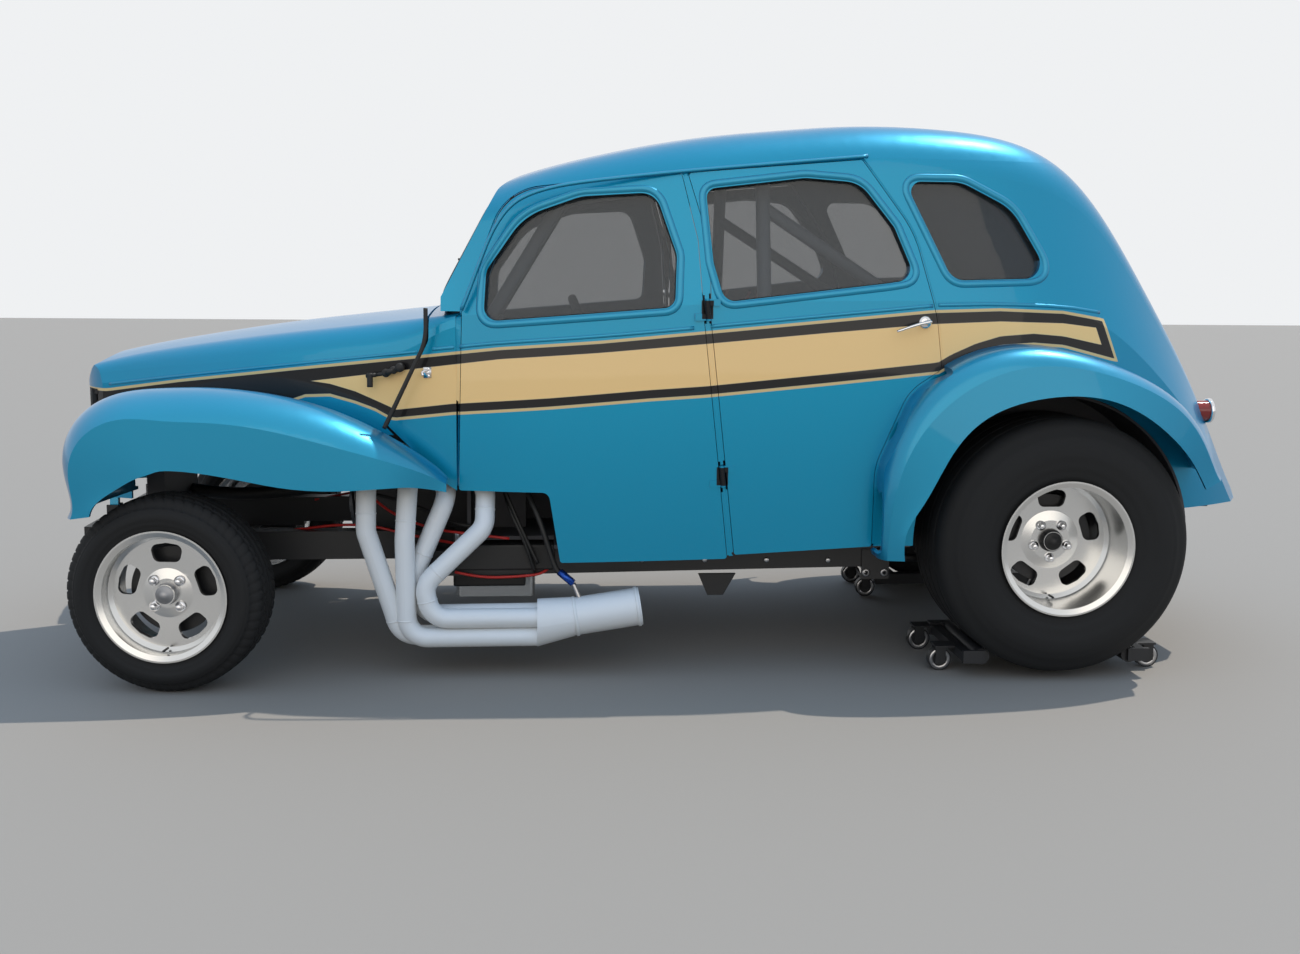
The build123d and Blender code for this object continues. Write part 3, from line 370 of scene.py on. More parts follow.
stripes = {  # the four lines as x, z in mm, the rest in metres
    "upTop": [(1807, 855), (1551, 894), (1187, 940), (791, 985), (540, 1014), (245, 1036), (-60, 1066),
              (-429, 1102), (-758, 1134), (-968, 1141), (-1172, 1134), (-1299, 1113), (-1360, 1098)],
    "upLow": [(1807, 820), (1133, 899), (807, 943), (540, 978), (245, 1000), (-61, 1028), (-429, 1063),
              (-759, 1092), (-970, 1101), (-1174, 1096), (-1288, 1082)],
    "downTop": [(1301, 915), (1117, 899), (1062, 892), (985, 871), (908, 839), (858, 817), (687, 839),
                (393, 862), (96, 889), (-70, 901), (-433, 938), (-779, 975), (-817, 998), (-894, 1032),
                (-972, 1055), (-1077, 1063), (-1176, 1055), (-1308, 1028)],
    "downLow": [(1301, 800), (1141, 858), (1063, 862), (985, 842), (924, 821), (870, 792), (687, 814),
                (393, 837), (96, 864), (-71, 876), (-434, 912), (-784, 949), (-818, 971), (-895, 1006),
                (-973, 1029), (-1078, 1036), (-1177, 1029), (-1355, 985)],
    "pin": 0.009, "edge": 0.0015, "low": 0.7, "high": 1.2,
    "endTop": (-1.303, 1.113), "endLow": (-1.355, 0.985), "endWide": 0.03,
}


def bandGroup():
    # Masks over x and z: cream inside both lines, black along them, tan pinstripes outside them.
    group, given, result = nodeGroup("paintBands", [("Position", "NodeSocketVector")],
                                     [(n, "NodeSocketFloat") for n in ("cream", "black", "pin")])
    split = group.nodes.new("ShaderNodeSeparateXYZ")
    group.links.new(given.outputs[0], split.inputs[0])
    x, z = split.outputs[0], split.outputs[2]
    line = {k: curveNode(group, x, stripes[k], stripes["low"], stripes["high"])
            for k in ("upTop", "upLow", "downTop", "downLow")}
    (x0, z0), (x1, z1) = stripes["endTop"], stripes["endLow"]
    lean = (x1 - x0) / (z1 - z0)
    endX = mathNode(group, "ADD", mathNode(group, "MULTIPLY", mathNode(group, "SUBTRACT", z, z0), lean), x0)
    ahead = mathNode(group, "SUBTRACT", x, endX)

    def above(value, level):
        over = mathNode(group, "SUBTRACT", value, level)
        return mathNode(group, "DIVIDE", over, stripes["edge"], clamp=True)

    def below(value, level):
        return above(level, value)

    def both(a, b):
        return mathNode(group, "MULTIPLY", a, b)

    blackTop = mathNode(group, "SUBTRACT", line["upTop"], stripes["pin"])
    pinLow = mathNode(group, "SUBTRACT", line["downLow"], stripes["pin"])
    whole = both(both(below(z, line["upTop"]), above(z, pinLow)), above(ahead, -stripes["pin"]))
    dark = both(both(below(z, blackTop), above(z, line["downLow"])), above(ahead, 0.0))
    between = both(below(z, line["upLow"]), above(z, line["downTop"]))
    inside = both(between, above(ahead, stripes["endWide"]))
    group.links.new(inside, result.inputs["cream"])
    group.links.new(mathNode(group, "SUBTRACT", dark, inside, clamp=True), result.inputs["black"])
    group.links.new(mathNode(group, "SUBTRACT", whole, dark, clamp=True), result.inputs["pin"])
    return group


# shade and turnAway paint shade onto the surfaces that turn away from view, for darker edges.
paintLook = {
    "blue": (0.0, 0.26, 0.42), "shade": (0.0, 0.13, 0.32), "fleck": (0.02, 0.42, 0.60),
    "cream": (0.95, 0.60, 0.24), "black": (0.006, 0.005, 0.005), "pin": (0.72, 0.5, 0.22),
    "inner": (0.012, 0.012, 0.013), "rough": 0.34, "metal": 0.5, "coat": 0.5, "coatRough": 0.03,
    "specular": 0.2, "fleckScale": 900.0, "fleckShare": 0.16, "turnAway": 0.35,
}


def setMaterial(name, colour, rough=0.5, metal=0.0, coat=0.0, **more):
    material = bpy.data.materials.new(name)
    material.use_nodes = True
    shader = material.node_tree.nodes["Principled BSDF"]
    shader.inputs["Base Color"].default_value = colour + (1.0,)
    shader.inputs["Roughness"].default_value = rough
    shader.inputs["Metallic"].default_value = metal
    shader.inputs["Coat Weight"].default_value = coat
    for key, value in more.items():
        shader.inputs[key.replace("_", " ")].default_value = value
    material.diffuse_color = colour + (1.0,)
    return material


def noiseBump(material, scale, strength, distance):
    tree = material.node_tree
    place = tree.nodes.new("ShaderNodeTexCoord")
    noise = tree.nodes.new("ShaderNodeTexNoise")
    noise.inputs["Scale"].default_value = scale
    bump = tree.nodes.new("ShaderNodeBump")
    bump.inputs["Strength"].default_value = strength
    bump.inputs["Distance"].default_value = distance
    tree.links.new(place.outputs["Object"], noise.inputs["Vector"])
    tree.links.new(noise.outputs["Fac"], bump.inputs["Height"])
    tree.links.new(bump.outputs[0], tree.nodes["Principled BSDF"].inputs["Normal"])


cabInside = {"middle": 0.6, "turned": 0.06, "blend": 0.03, "edge": 0.001,
             "hinges": [(-0.125, 0.630), (-0.074, 1.130)], "half": (0.018, 0.028)}


def insideGroup():
    # One where a face looks at the cab's middle line, and in a small patch round each hinge.
    group, given, result = nodeGroup("cabInside",
                                     [("Position", "NodeSocketVector"), ("Normal", "NodeSocketVector")],
                                     [("dark", "NodeSocketFloat")])
    spot = group.nodes.new("ShaderNodeSeparateXYZ")
    turn = group.nodes.new("ShaderNodeSeparateXYZ")
    group.links.new(given.outputs[0], spot.inputs[0])
    group.links.new(given.outputs[1], turn.inputs[0])
    sideways = mathNode(group, "MULTIPLY", spot.outputs[1], turn.outputs[1])
    height = mathNode(group, "SUBTRACT", spot.outputs[2], cabInside["middle"])
    upward = mathNode(group, "MULTIPLY", height, turn.outputs[2])
    inward = mathNode(group, "SUBTRACT", -cabInside["turned"], mathNode(group, "ADD", sideways, upward))
    dark = mathNode(group, "DIVIDE", inward, cabInside["blend"], clamp=True)
    for place in cabInside["hinges"]:
        near = None
        for axis, level, half in zip((0, 2), place, cabInside["half"]):
            off = mathNode(group, "ABSOLUTE", mathNode(group, "SUBTRACT", spot.outputs[axis], level))
            left = mathNode(group, "SUBTRACT", half, off)
            within = mathNode(group, "DIVIDE", left, cabInside["edge"], clamp=True)
            near = within if near is None else mathNode(group, "MULTIPLY", near, within)
        dark = mathNode(group, "MAXIMUM", dark, near)
    group.links.new(dark, result.inputs["dark"])
    return group


def paintMaterial(name, bands):
    # Metallic blue that deepens to a painted shade where it turns away from view, with fine flake, the painted bands
    # and a dark inside.
    material = setMaterial(name, paintLook["blue"], paintLook["rough"], paintLook["metal"],
                           paintLook["coat"], Coat_Roughness=paintLook["coatRough"])
    tree = material.node_tree
    shader = tree.nodes["Principled BSDF"]
    place = tree.nodes.new("ShaderNodeTexCoord")
    flake = tree.nodes.new("ShaderNodeTexNoise")
    flake.inputs["Scale"].default_value = paintLook["fleckScale"]
    tree.links.new(place.outputs["Object"], flake.inputs["Vector"])
    # Painted shade: the blue turns to the shade colour where the surface turns away from view.
    facing = tree.nodes.new("ShaderNodeLayerWeight")
    facing.inputs["Blend"].default_value = paintLook["turnAway"]
    base = mixColour(tree, facing.outputs["Facing"], paintLook["blue"], paintLook["shade"])
    lift = mathNode(tree, "MULTIPLY", flake.outputs["Fac"], paintLook["fleckShare"])
    base = mixColour(tree, lift, base, paintLook["fleck"])
    if bands:
        group = tree.nodes.new("ShaderNodeGroup")
        group.node_tree = bandTree
        tree.links.new(place.outputs["Object"], group.inputs[0])
        for key in ("pin", "black", "cream"):
            base = mixColour(tree, group.outputs[key], base, paintLook[key])
        flat = mathNode(tree, "ADD", group.outputs["cream"], group.outputs["black"])
        flat = mathNode(tree, "ADD", flat, group.outputs["pin"], clamp=True)
        inner = tree.nodes.new("ShaderNodeGroup")
        inner.node_tree = insideTree
        tree.links.new(place.outputs["Object"], inner.inputs[0])
        tree.links.new(place.outputs["Normal"], inner.inputs[1])
        base = mixColour(tree, inner.outputs[0], base, paintLook["inner"])
        flat = mathNode(tree, "MAXIMUM", flat, inner.outputs[0])
        metal = mathNode(tree, "MULTIPLY", mathNode(tree, "SUBTRACT", 1.0, flat), paintLook["metal"])
        tree.links.new(metal, shader.inputs["Metallic"])
        shader.inputs["Specular IOR Level"].default_value = paintLook["specular"]
        outer = mathNode(tree, "SUBTRACT", 1.0, inner.outputs[0])
        coat = mathNode(tree, "MULTIPLY", outer, paintLook["coat"])
        tree.links.new(coat, shader.inputs["Coat Weight"])
    tree.links.new(base, shader.inputs["Base Color"])
    return material


insideTree = insideGroup()
bandTree = bandGroup()
looks = {
    "body": paintMaterial("bodyPaint", True),
    "plain": paintMaterial("plainPaint", False),
    "glass": setMaterial("windowGlass", (0.045, 0.055, 0.06), rough=0.02, Alpha=0.42,
                         Specular_IOR_Level=0.8),
    "chassis": setMaterial("chassisBlack", (0.012, 0.012, 0.013), rough=0.45),
    "floor": setMaterial("floorSheet", (0.06, 0.06, 0.065), rough=0.6, metal=0.4),
    "engine": setMaterial("engineIron", (0.03, 0.03, 0.032), rough=0.5, metal=0.3),
    "alloy": setMaterial("polishedAlloy", (0.72, 0.72, 0.71), rough=0.24, metal=1.0),
    "gear": setMaterial("castAlloy", (0.35, 0.35, 0.36), rough=0.45, metal=0.9),
    "header": setMaterial("whiteHeader", (0.72, 0.72, 0.70), rough=0.42),
    "chrome": setMaterial("chromePlate", (0.8, 0.8, 0.82), rough=0.06, metal=1.0),
    "cage": setMaterial("cagePaint", (0.25, 0.26, 0.27), rough=0.4),
    "seat": setMaterial("seatCloth", (0.015, 0.015, 0.017), rough=0.9),
    "dash": setMaterial("dashBlack", (0.012, 0.012, 0.012), rough=0.6),
    "lens": setMaterial("redLens", (0.22, 0.004, 0.004), rough=0.1, coat=0.5),
    "lamp": setMaterial("clearLens", (0.8, 0.82, 0.83), rough=0.08, coat=1.0),
    "tyre": setMaterial("tyreRubber", (0.010, 0.010, 0.010), rough=0.78, Specular_IOR_Level=0.35),
    "rubber": setMaterial("sealRubber", (0.008, 0.008, 0.008), rough=0.55),
    "dolly": setMaterial("dollyBlack", (0.014, 0.014, 0.015), rough=0.5),
    "core": setMaterial("radiatorFins", (0.08, 0.08, 0.085), rough=0.6, metal=0.6),
    "steel": setMaterial("brightSteel", (0.45, 0.45, 0.46), rough=0.3, metal=1.0),
    "red": setMaterial("redCable", (0.5, 0.015, 0.01), rough=0.4),
    "blue": setMaterial("blueFitting", (0.02, 0.08, 0.4), rough=0.25, metal=0.8),
}
noiseBump(looks["header"], 30.0, 0.05, 0.002)
noiseBump(looks["tyre"], 120.0, 0.1, 0.001)
noiseBump(looks["seat"], 300.0, 0.3, 0.002)

nodesByLook = {
    "body": ["cowl", "roof_shell", "b_posts", "quarter_panels", "hood"],
    "plain": ["tail_panel", "rear_fenders", "boot_lid", "front_fenders"],
    "glass": ["fixed_glass"],
    "chassis": ["chassis_frame", "front_axle", "rear_axle", "rear_suspension", "tie_rod"],
    "dash": ["dashboard", "steering_wheel"],
    "rubber": ["grille"], "lamp": ["headlamps"], "floor": ["floor_pan"], "engine": ["engine_block"],
    "alloy": ["oil_pan"], "core": ["radiator"], "header": ["headers"], "gear": ["driveline"],
    "cage": ["roll_cage"], "seat": ["seats"], "lens": ["tail_lamps"], "dolly": ["rear_dollies"],
}
twinsByLook = {
    "body": ["door_front", "door_rear"], "glass": ["glass_front", "glass_rear"], "chassis": ["knuckle"],
    "tyre": ["tyre_front", "tyre_rear"], "alloy": ["rim_front", "rim_rear"],
}
nodeLooks = {node: look for look, nodes in nodesByLook.items() for node in nodes}
nodeLooks.update({f"{node}_{word}": look for look, nodes in twinsByLook.items() for node in nodes
                  for word in ("left", "right")})
for name, look in nodeLooks.items():
    mesh = frame["nodes"][name].data
    mesh.materials.clear()
    mesh.materials.append(looks[look])
print("materials set")


# Trims laid on the body's left side and its twin
trimSunk = 0.001


def rounded(wide, high, count=7):
    # Half an oval: side = wide / 2 times cos, rise = high times sin.
    turn = np.linspace(0, math.pi, count)
    return np.stack([np.cos(turn) * wide / 2, np.sin(turn) * high], 1)


def onPath(nodes, outline, count, rounds):
    # A line of x, z points in mm smoothed, spaced evenly and laid on the nodes' left side.
    flatPath = resample(smoothed(np.asarray(outline, float) / 1000, rounds), count)
    return onSide(nodes, flatPath, -trimSunk)


def sideStrip(nodes, outline, wide, high, count, rounds):
    return sweep(onPath(nodes, outline, count, rounds), rounded(wide, high), (0, 1, 0))


def sideTrim(name, nodes, outline, body, material, wide, high, count, rounds=2):
    newPiece(name, *bothSides(sideStrip(nodes, outline, wide, high, count, rounds)), body, material)


def sidePair(name, nodes, outline, bodies, material, wide, high, count, rounds=2):
    # The same trim on a left body and on its twin.
    part = sideStrip(nodes, outline, wide, high, count, rounds)
    for word, shape in (("left", part), ("right", otherSide(part))):
        newPiece(f"{name}_{word}", *shape, f"{bodies}_{word}", material)


def edgeLoop(edge, perCorner):
    # A closed outline with each corner rounded: x, z, corner radius rows in mm.
    points = np.array([(x, z) for x, z, _ in edge], float)
    radii = [r for _, _, r in edge]
    loop = []
    for i, p in enumerate(points):
        before, after = points[i - 1], points[(i + 1) % len(points)]
        a, b = before - p, after - p
        la, lb = np.linalg.norm(a), np.linalg.norm(b)
        a, b = a / la, b / lb
        half = math.acos(max(-1, min(1, float(a @ b)))) / 2
        reach = min(max(radii[i], 1) / math.tan(half), la * 0.49, lb * 0.49)
        start, end = p + a * reach, p + b * reach
        for t in np.linspace(0, 1, perCorner):
            loop.append((1 - t) ** 2 * start + 2 * t * (1 - t) * p + t * t * end)
    return np.array(loop)


windowEdges = {
    "front": [(592, 1088, 40), (583, 1240, 60), (470, 1402, 190), (300, 1462, 150), (80, 1476, 60),
              (16, 1290, 60), (22, 1136, 36)],
    "rear": [(-70, 1487, 30), (-370, 1524, 100), (-535, 1512, 95), (-640, 1380, 60), (-706, 1226, 42),
             (-620, 1212, 10), (-126, 1152, 42), (-92, 1270, 60)],
    "quarter": [(-672, 1518, 32), (-850, 1518, 120), (-1010, 1440, 160), (-1135, 1232, 50),
                (-820, 1222, 60)],
}
windowSides = {"front": ("door_front_left",), "rear": ("door_rear_left",), "quarter": ("quarter_panels",)}


def grown(loop, by):
    # Each point moved out along the loop's normal.
    ahead = np.roll(loop, -1, 0) - np.roll(loop, 1, 0)
    normal = np.stack([ahead[:, 1], -ahead[:, 0]], 1)
    normal /= np.linalg.norm(normal, axis=1)[:, None] + 1e-9
    area = np.sum(loop[:, 0] * np.roll(loop[:, 1], -1) - np.roll(loop[:, 0], -1) * loop[:, 1])
    return loop + normal * by * (1 if area > 0 else -1)


reveal = {"wide": 0.022, "high": 0.006, "sunk": 0.0015, "out": 13, "points": 150,
          "rubberWide": 0.009, "rubberHigh": 0.006, "rubberSunk": 0.012, "rubberOut": 2, "laidOut": 6}


def windowTrim(key):
    # A painted bead round the window and, inside it, the glass rubber, both half ovals on the loop.
    loop = edgeLoop(windowEdges[key], 9)
    outer, inner, laid = (resample(grown(loop, reveal[k]) / 1000, reveal["points"], True)
                          for k in ("out", "rubberOut", "laidOut"))
    path = onSide(windowSides[key], outer, -reveal["sunk"])
    body = sweep(path, rounded(reveal["wide"], reveal["high"]), (0, 1, 0), True)
    rubberPath = onSide(windowSides[key], laid, -reveal["rubberSunk"])
    rubberPath[:, (0, 2)] = inner
    rubber = sweep(rubberPath, rounded(reveal["rubberWide"], reveal["rubberHigh"]), (0, 1, 0), True)
    return body, rubber


for key in windowEdges:
    body, rubber = windowTrim(key)
    if key == "quarter":
        newPiece("quarterReveal", *bothSides(body), "body", looks["plain"])
        newPiece("quarterRubber", *bothSides(rubber), "body", looks["rubber"])
        continue
    for word, turn in (("left", lambda part: part), ("right", otherSide)):
        newPiece(f"{key}Reveal_{word}", *turn(body), f"door_{key}_{word}", looks["plain"])
        newPiece(f"{key}Rubber_{word}", *turn(rubber), f"door_{key}_{word}", looks["rubber"])
print("window trims")

doorEdges = {
    "front": [(2, 1532, 10), (521, 1477, 160), (656, 1116, 30), (668, 577, 8), (397, 577, 25),
              (362, 362, 8), (-143, 376, 8), (-64, 1100, 60), (-46, 1335, 80)],
    "rear": [(-18, 1534, 10), (-84, 1317, 60), (-86, 1100, 60), (-165, 388, 8), (-588, 411, 8),
             (-590, 660, 200), (-690, 890, 150), (-790, 955, 10), (-772, 1110, 500), (-700, 1366, 350),
             (-543, 1580, 6)],
}
shutLine = {"near": 1.8, "steps": ((7.4, 13), (18, 25)), "deep": 0.007, "under": 0.0006,
            "points": 420, "hinges": [(-125, 630), (-74, 1130)], "clear": 42, "step": 0.05,
            "panels": ("cowl", "roof_shell", "b_posts", "quarter_panels")}


def shutStrips(key):
    # A lip round the door opening that leaves a thin line, only where a body panel lies beside the door.
    loop = resample(edgeLoop(doorEdges[key], 9), shutLine["points"], True)
    near = grown(loop, shutLine["near"])
    steps = [(grown(loop, far), grown(loop, beside)) for far, beside in shutLine["steps"]]
    rows = []
    for i, a in enumerate(near):
        for far, beside in steps:
            b, c = far[i], beside[i]
            y = sideY(shutLine["panels"], *c / 1000)
            if y is not None:
                break
        door = sideY((f"door_{key}_left",), *(loop[i] * 2 - a) / 1000)
        hinge = min(math.dist(a, spot) for spot in shutLine["hinges"]) < shutLine["clear"]
        if y is None or door is None or hinge or abs(y - door) > shutLine["step"]:
            rows.append(None)
            continue
        rows.append((a / 1000, b / 1000, door - shutLine["under"], y - shutLine["under"]))
    points, faces = [], []
    for i, row in enumerate(rows):
        after = rows[(i + 1) % len(rows)]
        if row is None or after is None:
            continue
        start = len(points)
        for (ax, az), (bx, bz), inner, outer in (row, after):
            points += [(bx, outer, bz), (ax, inner, az), (ax, inner - shutLine["deep"], az)]
        faces += [[start, start + 1, start + 4, start + 3], [start + 1, start + 2, start + 5, start + 4]]
    return np.array(points), faces


for key in doorEdges:
    newPiece(f"{key}ShutLine", *bothSides(shutStrips(key)), "body", looks["body"], False)
print("shut lines")

gutter = {"line": [(656, 1122), (645, 1150), (632, 1182), (601, 1265), (565, 1355), (520, 1423),
                   (467, 1462), (363, 1494), (183, 1518), (-9, 1540), (-239, 1562), (-561, 1592)],
          "wide": 0.012, "high": 0.009, "points": 90}
sideTrim("gutter", ("roof_shell",), gutter["line"], "body", looks["plain"], gutter["wide"],
         gutter["high"], gutter["points"])

# Belt bead just above the upper pinstripe, and the hood's crease
belt = {
    "lines": {"cowl": ([(745, 1003), (700, 1008), (680, 1010)], ("cowl",)),
              "front": ([(664, 1012), (540, 1026), (245, 1048), (-35, 1075)], ("door_front_left",)),
              "rear": ([(-84, 1080), (-429, 1114), (-758, 1146)], ("door_rear_left",)),
              "quarter": ([(-775, 1148), (-968, 1153), (-1172, 1146), (-1299, 1128)], ("quarter_panels",))},
    "size": (0.012, 0.004, 40),
}
for key, (line, nodes) in belt["lines"].items():
    if key in ("front", "rear"):
        sidePair(f"{key}Belt", nodes, line, f"door_{key}", looks["plain"], *belt["size"], rounds=1)
    else:
        sideTrim(f"{key}Belt", nodes, line, "body", looks["plain"], *belt["size"], rounds=1)
crease = {"line": [(1800, 868), (1551, 903), (1187, 949), (791, 995)], "size": (0.010, 0.0035, 80)}
sideTrim("hoodCrease", ("hood",), crease["line"], "flip_front", looks["plain"], *crease["size"], rounds=1)
print("body beads")

# Hood seam rubber, rubber latch and hook
seam = {"line": [(761, 1128), (761, 1030), (794, 962), (888, 768)], "wide": 0.013, "high": 0.004}
sideTrim("seamRubber", ("cowl", "hood"), seam["line"], "body", looks["rubber"], seam["wide"],
         seam["high"], 60)

latch = {
    "handle": [(934, 930), (934, 888)], "handleOut": 0.03, "handleR": 0.009,
    "strap": [(945, 921), (915, 925), (885, 930), (862, 941), (843, 948)], "strapOut": 0.026,
    "strapR": (0.007, 0.006, 0.009, 0.006), "studOut": 0.024,
    "studs": (((885, 931), 0.013), ((862, 940), 0.012), ((843, 948), 0.014)),
}


def sidePoint(nodes, x, z, out=0.0):
    # A point in mm laid on the nodes' left side, as metres.
    x, z = x / 1000, z / 1000
    return Vector((x, sideY(nodes, x, z) + out, z))


def latchParts():
    # A T handle, its strap as tubes of changing radius, and a turned stud at each thick place.
    parts = []
    handle = [tuple(sidePoint(("hood",), *spot, latch["handleOut"])) for spot in latch["handle"]]
    parts.append(tube(resample(handle, 8), latch["handleR"], 10))
    path = [tuple(sidePoint(("hood",), *spot, latch["strapOut"])) for spot in latch["strap"]]
    for a, b, r in zip(path[:-1], path[1:], latch["strapR"]):
        parts.append(tube(resample([a, b], 3), r, 10))
    for spot, r in latch["studs"]:
        profile = [(onAxis, 0.008), (r * 0.8, 0.008), (r, 0.004), (r, -0.02), (onAxis, -0.02)]
        parts.append(lathe(profile, sidePoint(("hood",), *spot, latch["studOut"]), (0, 1, 0), 16))
    return joined(parts)


newPiece("rubberLatch", *bothSides(latchParts()), "flip_front", looks["rubber"])
hook = {"at": (761, 933), "plate": ((-0.012, -0.002, -0.016), (0.012, 0.004, 0.016)),
        "bolts": (-0.010, 0.010), "wireR": 0.004, "boltSize": (0.004, 0.003, 12),
        "curl": [(0.0, 0.004, 0.006), (0.010, 0.012, 0.006), (0.016, 0.016, 0.0), (0.012, 0.018, -0.008)]}


def hookParts():
    spot = sidePoint(("cowl",), *hook["at"])
    parts = [block(*(spot + Vector(corner) for corner in hook["plate"]))]
    curl = smoothed([tuple(spot + Vector(p)) for p in hook["curl"]], 2)
    parts.append(tube(resample(curl, 14), hook["wireR"], 8))
    for z in hook["bolts"]:
        parts.append(bolt(spot + Vector((-0.004, 0.004, z)), (0, 1, 0), *hook["boltSize"]))
    return joined(parts)


newPiece("latchHook", *bothSides(hookParts()), "body", looks["chrome"])
print("latches")

# Rear door lever handles
lever = {"pivot": (-735, 1096), "tip": (-640, 1070), "out": 0.036, "tipOut": 0.035,
         "half": (0.0055, 0.0085), "taper": 0.35,
         "rose": [(onAxis, 0.012), (0.012, 0.011), (0.019, 0.006), (0.021, 0.0), (0.021, -0.004),
                  (onAxis, -0.004)], "stemR": 0.008}


def leverParts(nodes):
    # A turned rose and stem, and an oval lever that narrows towards its tip.
    pivot = sidePoint(nodes, *lever["pivot"])
    tip = np.array(sidePoint(nodes, *lever["tip"], lever["tipOut"]))
    stem = [tuple(pivot), tuple(pivot + Vector((0, lever["out"], 0)))]
    start = np.array(pivot + Vector((-0.008, lever["out"], 0.004)))
    path = resample(smoothed([start, start * 0.6 + tip * 0.4 + (0, 0.004, 0.004), tip], 2), 16)
    ring = np.linspace(0, 2 * math.pi, 12, endpoint=False)
    profile = np.stack([np.cos(ring), np.sin(ring)], 1) * lever["half"]
    points, faces = sweep(path, profile, (0, 1, 0))
    scale = (1.0 - lever["taper"] * np.linspace(0, 1, 16))[:, None, None]
    points = (path[:, None] + (points.reshape(16, 12, 3) - path[:, None]) * scale).reshape(-1, 3)
    return joined([lathe(lever["rose"], pivot, (0, 1, 0), 24), tube(resample(stem, 6), lever["stemR"], 12),
                   (points, faces)])


handle = leverParts(("door_rear_left",))
newPiece("rearHandle_left", *handle, "door_rear_left", looks["chrome"])
newPiece("rearHandle_right", *otherSide(handle), "door_rear_right", looks["chrome"])

# Tyres: radius = base profile less a groove depth that depends on the turn and on the way across
tyreLook = {
    "front": {"radius": 0.292, "half": 0.095, "bead": 0.1843, "beadHalf": 0.074, "shoulder": 0.034,
              "grooves": (-0.045, -0.015, 0.015, 0.045), "groove": 0.0045, "depth": 0.006,
              "blocks": 60, "slant": 14, "share": 0.40, "edges": (0.019, 0.041, 0.045), "turns": 360},
    "rear": {"radius": 0.395, "half": 0.175, "bead": 0.1963, "beadHalf": 0.150, "shoulder": 0.044,
             "grooves": (-0.09, -0.03, 0.03, 0.09), "groove": 0.005, "depth": 0.005,
             "blocks": 0, "turns": 300},
    "bulge": 0.45, "shoulders": ((0.8, 0.45), (0.22, 0.85)), "treadIn": 1.4, "crown": 0.002,
    "sideRings": ((0.12, 0.03, 0.002), (0.30, 0.02, 0.0015), (0.62, 0.16, 0.0014), (0.86, 0.03, 0.002)),
}


def tyreProfile(look):
    # Side and tread as (radius, along), from the inner bead over the tread to the outer bead.
    keys = ("radius", "half", "bead", "beadHalf", "shoulder")
    r, half, bead, beadHalf, shoulder = (look[k] for k in keys)
    sideR = bead + (r - bead) * tyreLook["bulge"]

    def arc(a, mid, b, count):
        a, mid, b = (np.array(p) for p in (a, mid, b))
        t = np.linspace(0, 1, count)[:, None]
        control = 2 * mid - (a + b) / 2
        return (1 - t) ** 2 * a + 2 * t * (1 - t) * control + t * t * b

    shoulderLow, shoulderMid = ((r - shoulder * down, half - shoulder * inward)
                                for down, inward in tyreLook["shoulders"])
    treadHalf = half - shoulder * tyreLook["treadIn"]
    crown = tyreLook["crown"]
    sideUp = arc((bead, beadHalf), (sideR, half), shoulderLow, 22)
    share = np.linspace(0, 1, len(sideUp))
    rings = sum(high * (np.abs(share - level) < wide) for level, wide, high in tyreLook["sideRings"])
    sideUp = sideUp + np.stack([np.zeros(len(rings)), rings - 0.001], 1)
    over = arc(shoulderLow, shoulderMid, (r - crown, treadHalf), 8)[1:]
    across = np.linspace(treadHalf, -treadHalf, 61)[1:-1]
    flatTread = np.stack([r - crown * (across / treadHalf) ** 2, across], 1)
    upper = np.vstack([sideUp, over])
    lower = upper[::-1] * (1, -1)
    return np.vstack([upper, flatTread, lower])


def tyreShape(look, centre, axis):
    profile = tyreProfile(look)
    turns = look["turns"]
    along = profile[:, 1]
    tread = (profile[:, 0] > look["radius"] - look["shoulder"] * 0.9)
    cut = np.zeros(len(profile))
    for place in look["grooves"]:
        cut = np.maximum(cut, (np.abs(along - place) < look["groove"]) * look["depth"])
    depth = np.broadcast_to(cut * tread, (turns, len(profile))).copy()
    if look["blocks"]:
        turn = np.linspace(0, 2 * math.pi, turns, endpoint=False)[:, None]
        phase = turn * look["blocks"] / (2 * math.pi) + np.abs(along)[None] * look["slant"]
        wave = np.abs(phase % 1 - 0.5) > look["share"]
        near, far, outer = look["edges"]
        edge = (np.abs(along) > outer) | ((np.abs(along) > near) & (np.abs(along) < far))
        depth = np.maximum(depth, wave * edge[None] * tread[None] * look["depth"] * 0.7)
    points = spun(centre, axis, turns, profile[None, :, 0] - depth, along)
    return points.reshape(-1, 3), gridFaces(turns, len(profile), True, True)


hubs = {"turn": math.radians(-6.6), "out": 0.07, "front": (1.5, 0.575, 0.292),
        "rear": (-1.17, 0.596, 0.418)}
wheels = {}
for word, side in (("left", 1), ("right", -1)):
    axis = Vector((-math.sin(hubs["turn"]), math.cos(hubs["turn"]), 0)) * side
    king, rear = (Vector((x, side * y, z)) for x, y, z in (hubs["front"], hubs["rear"]))
    wheels[f"front_{word}"] = (king + axis * hubs["out"], axis, tyreLook["front"])
    wheels[f"rear_{word}"] = (rear, Vector((0, side, 0)), tyreLook["rear"])
for key, (centre, axis, look) in wheels.items():
    tyre = newPiece(f"roadTyre_{key}", *tyreShape(look, centre, axis), f"wheel_{key}", looks["tyre"])
    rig.replaces(tyre, f"tyre_{key}")
    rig.slot(tyre, "tyre")
print("tyres")

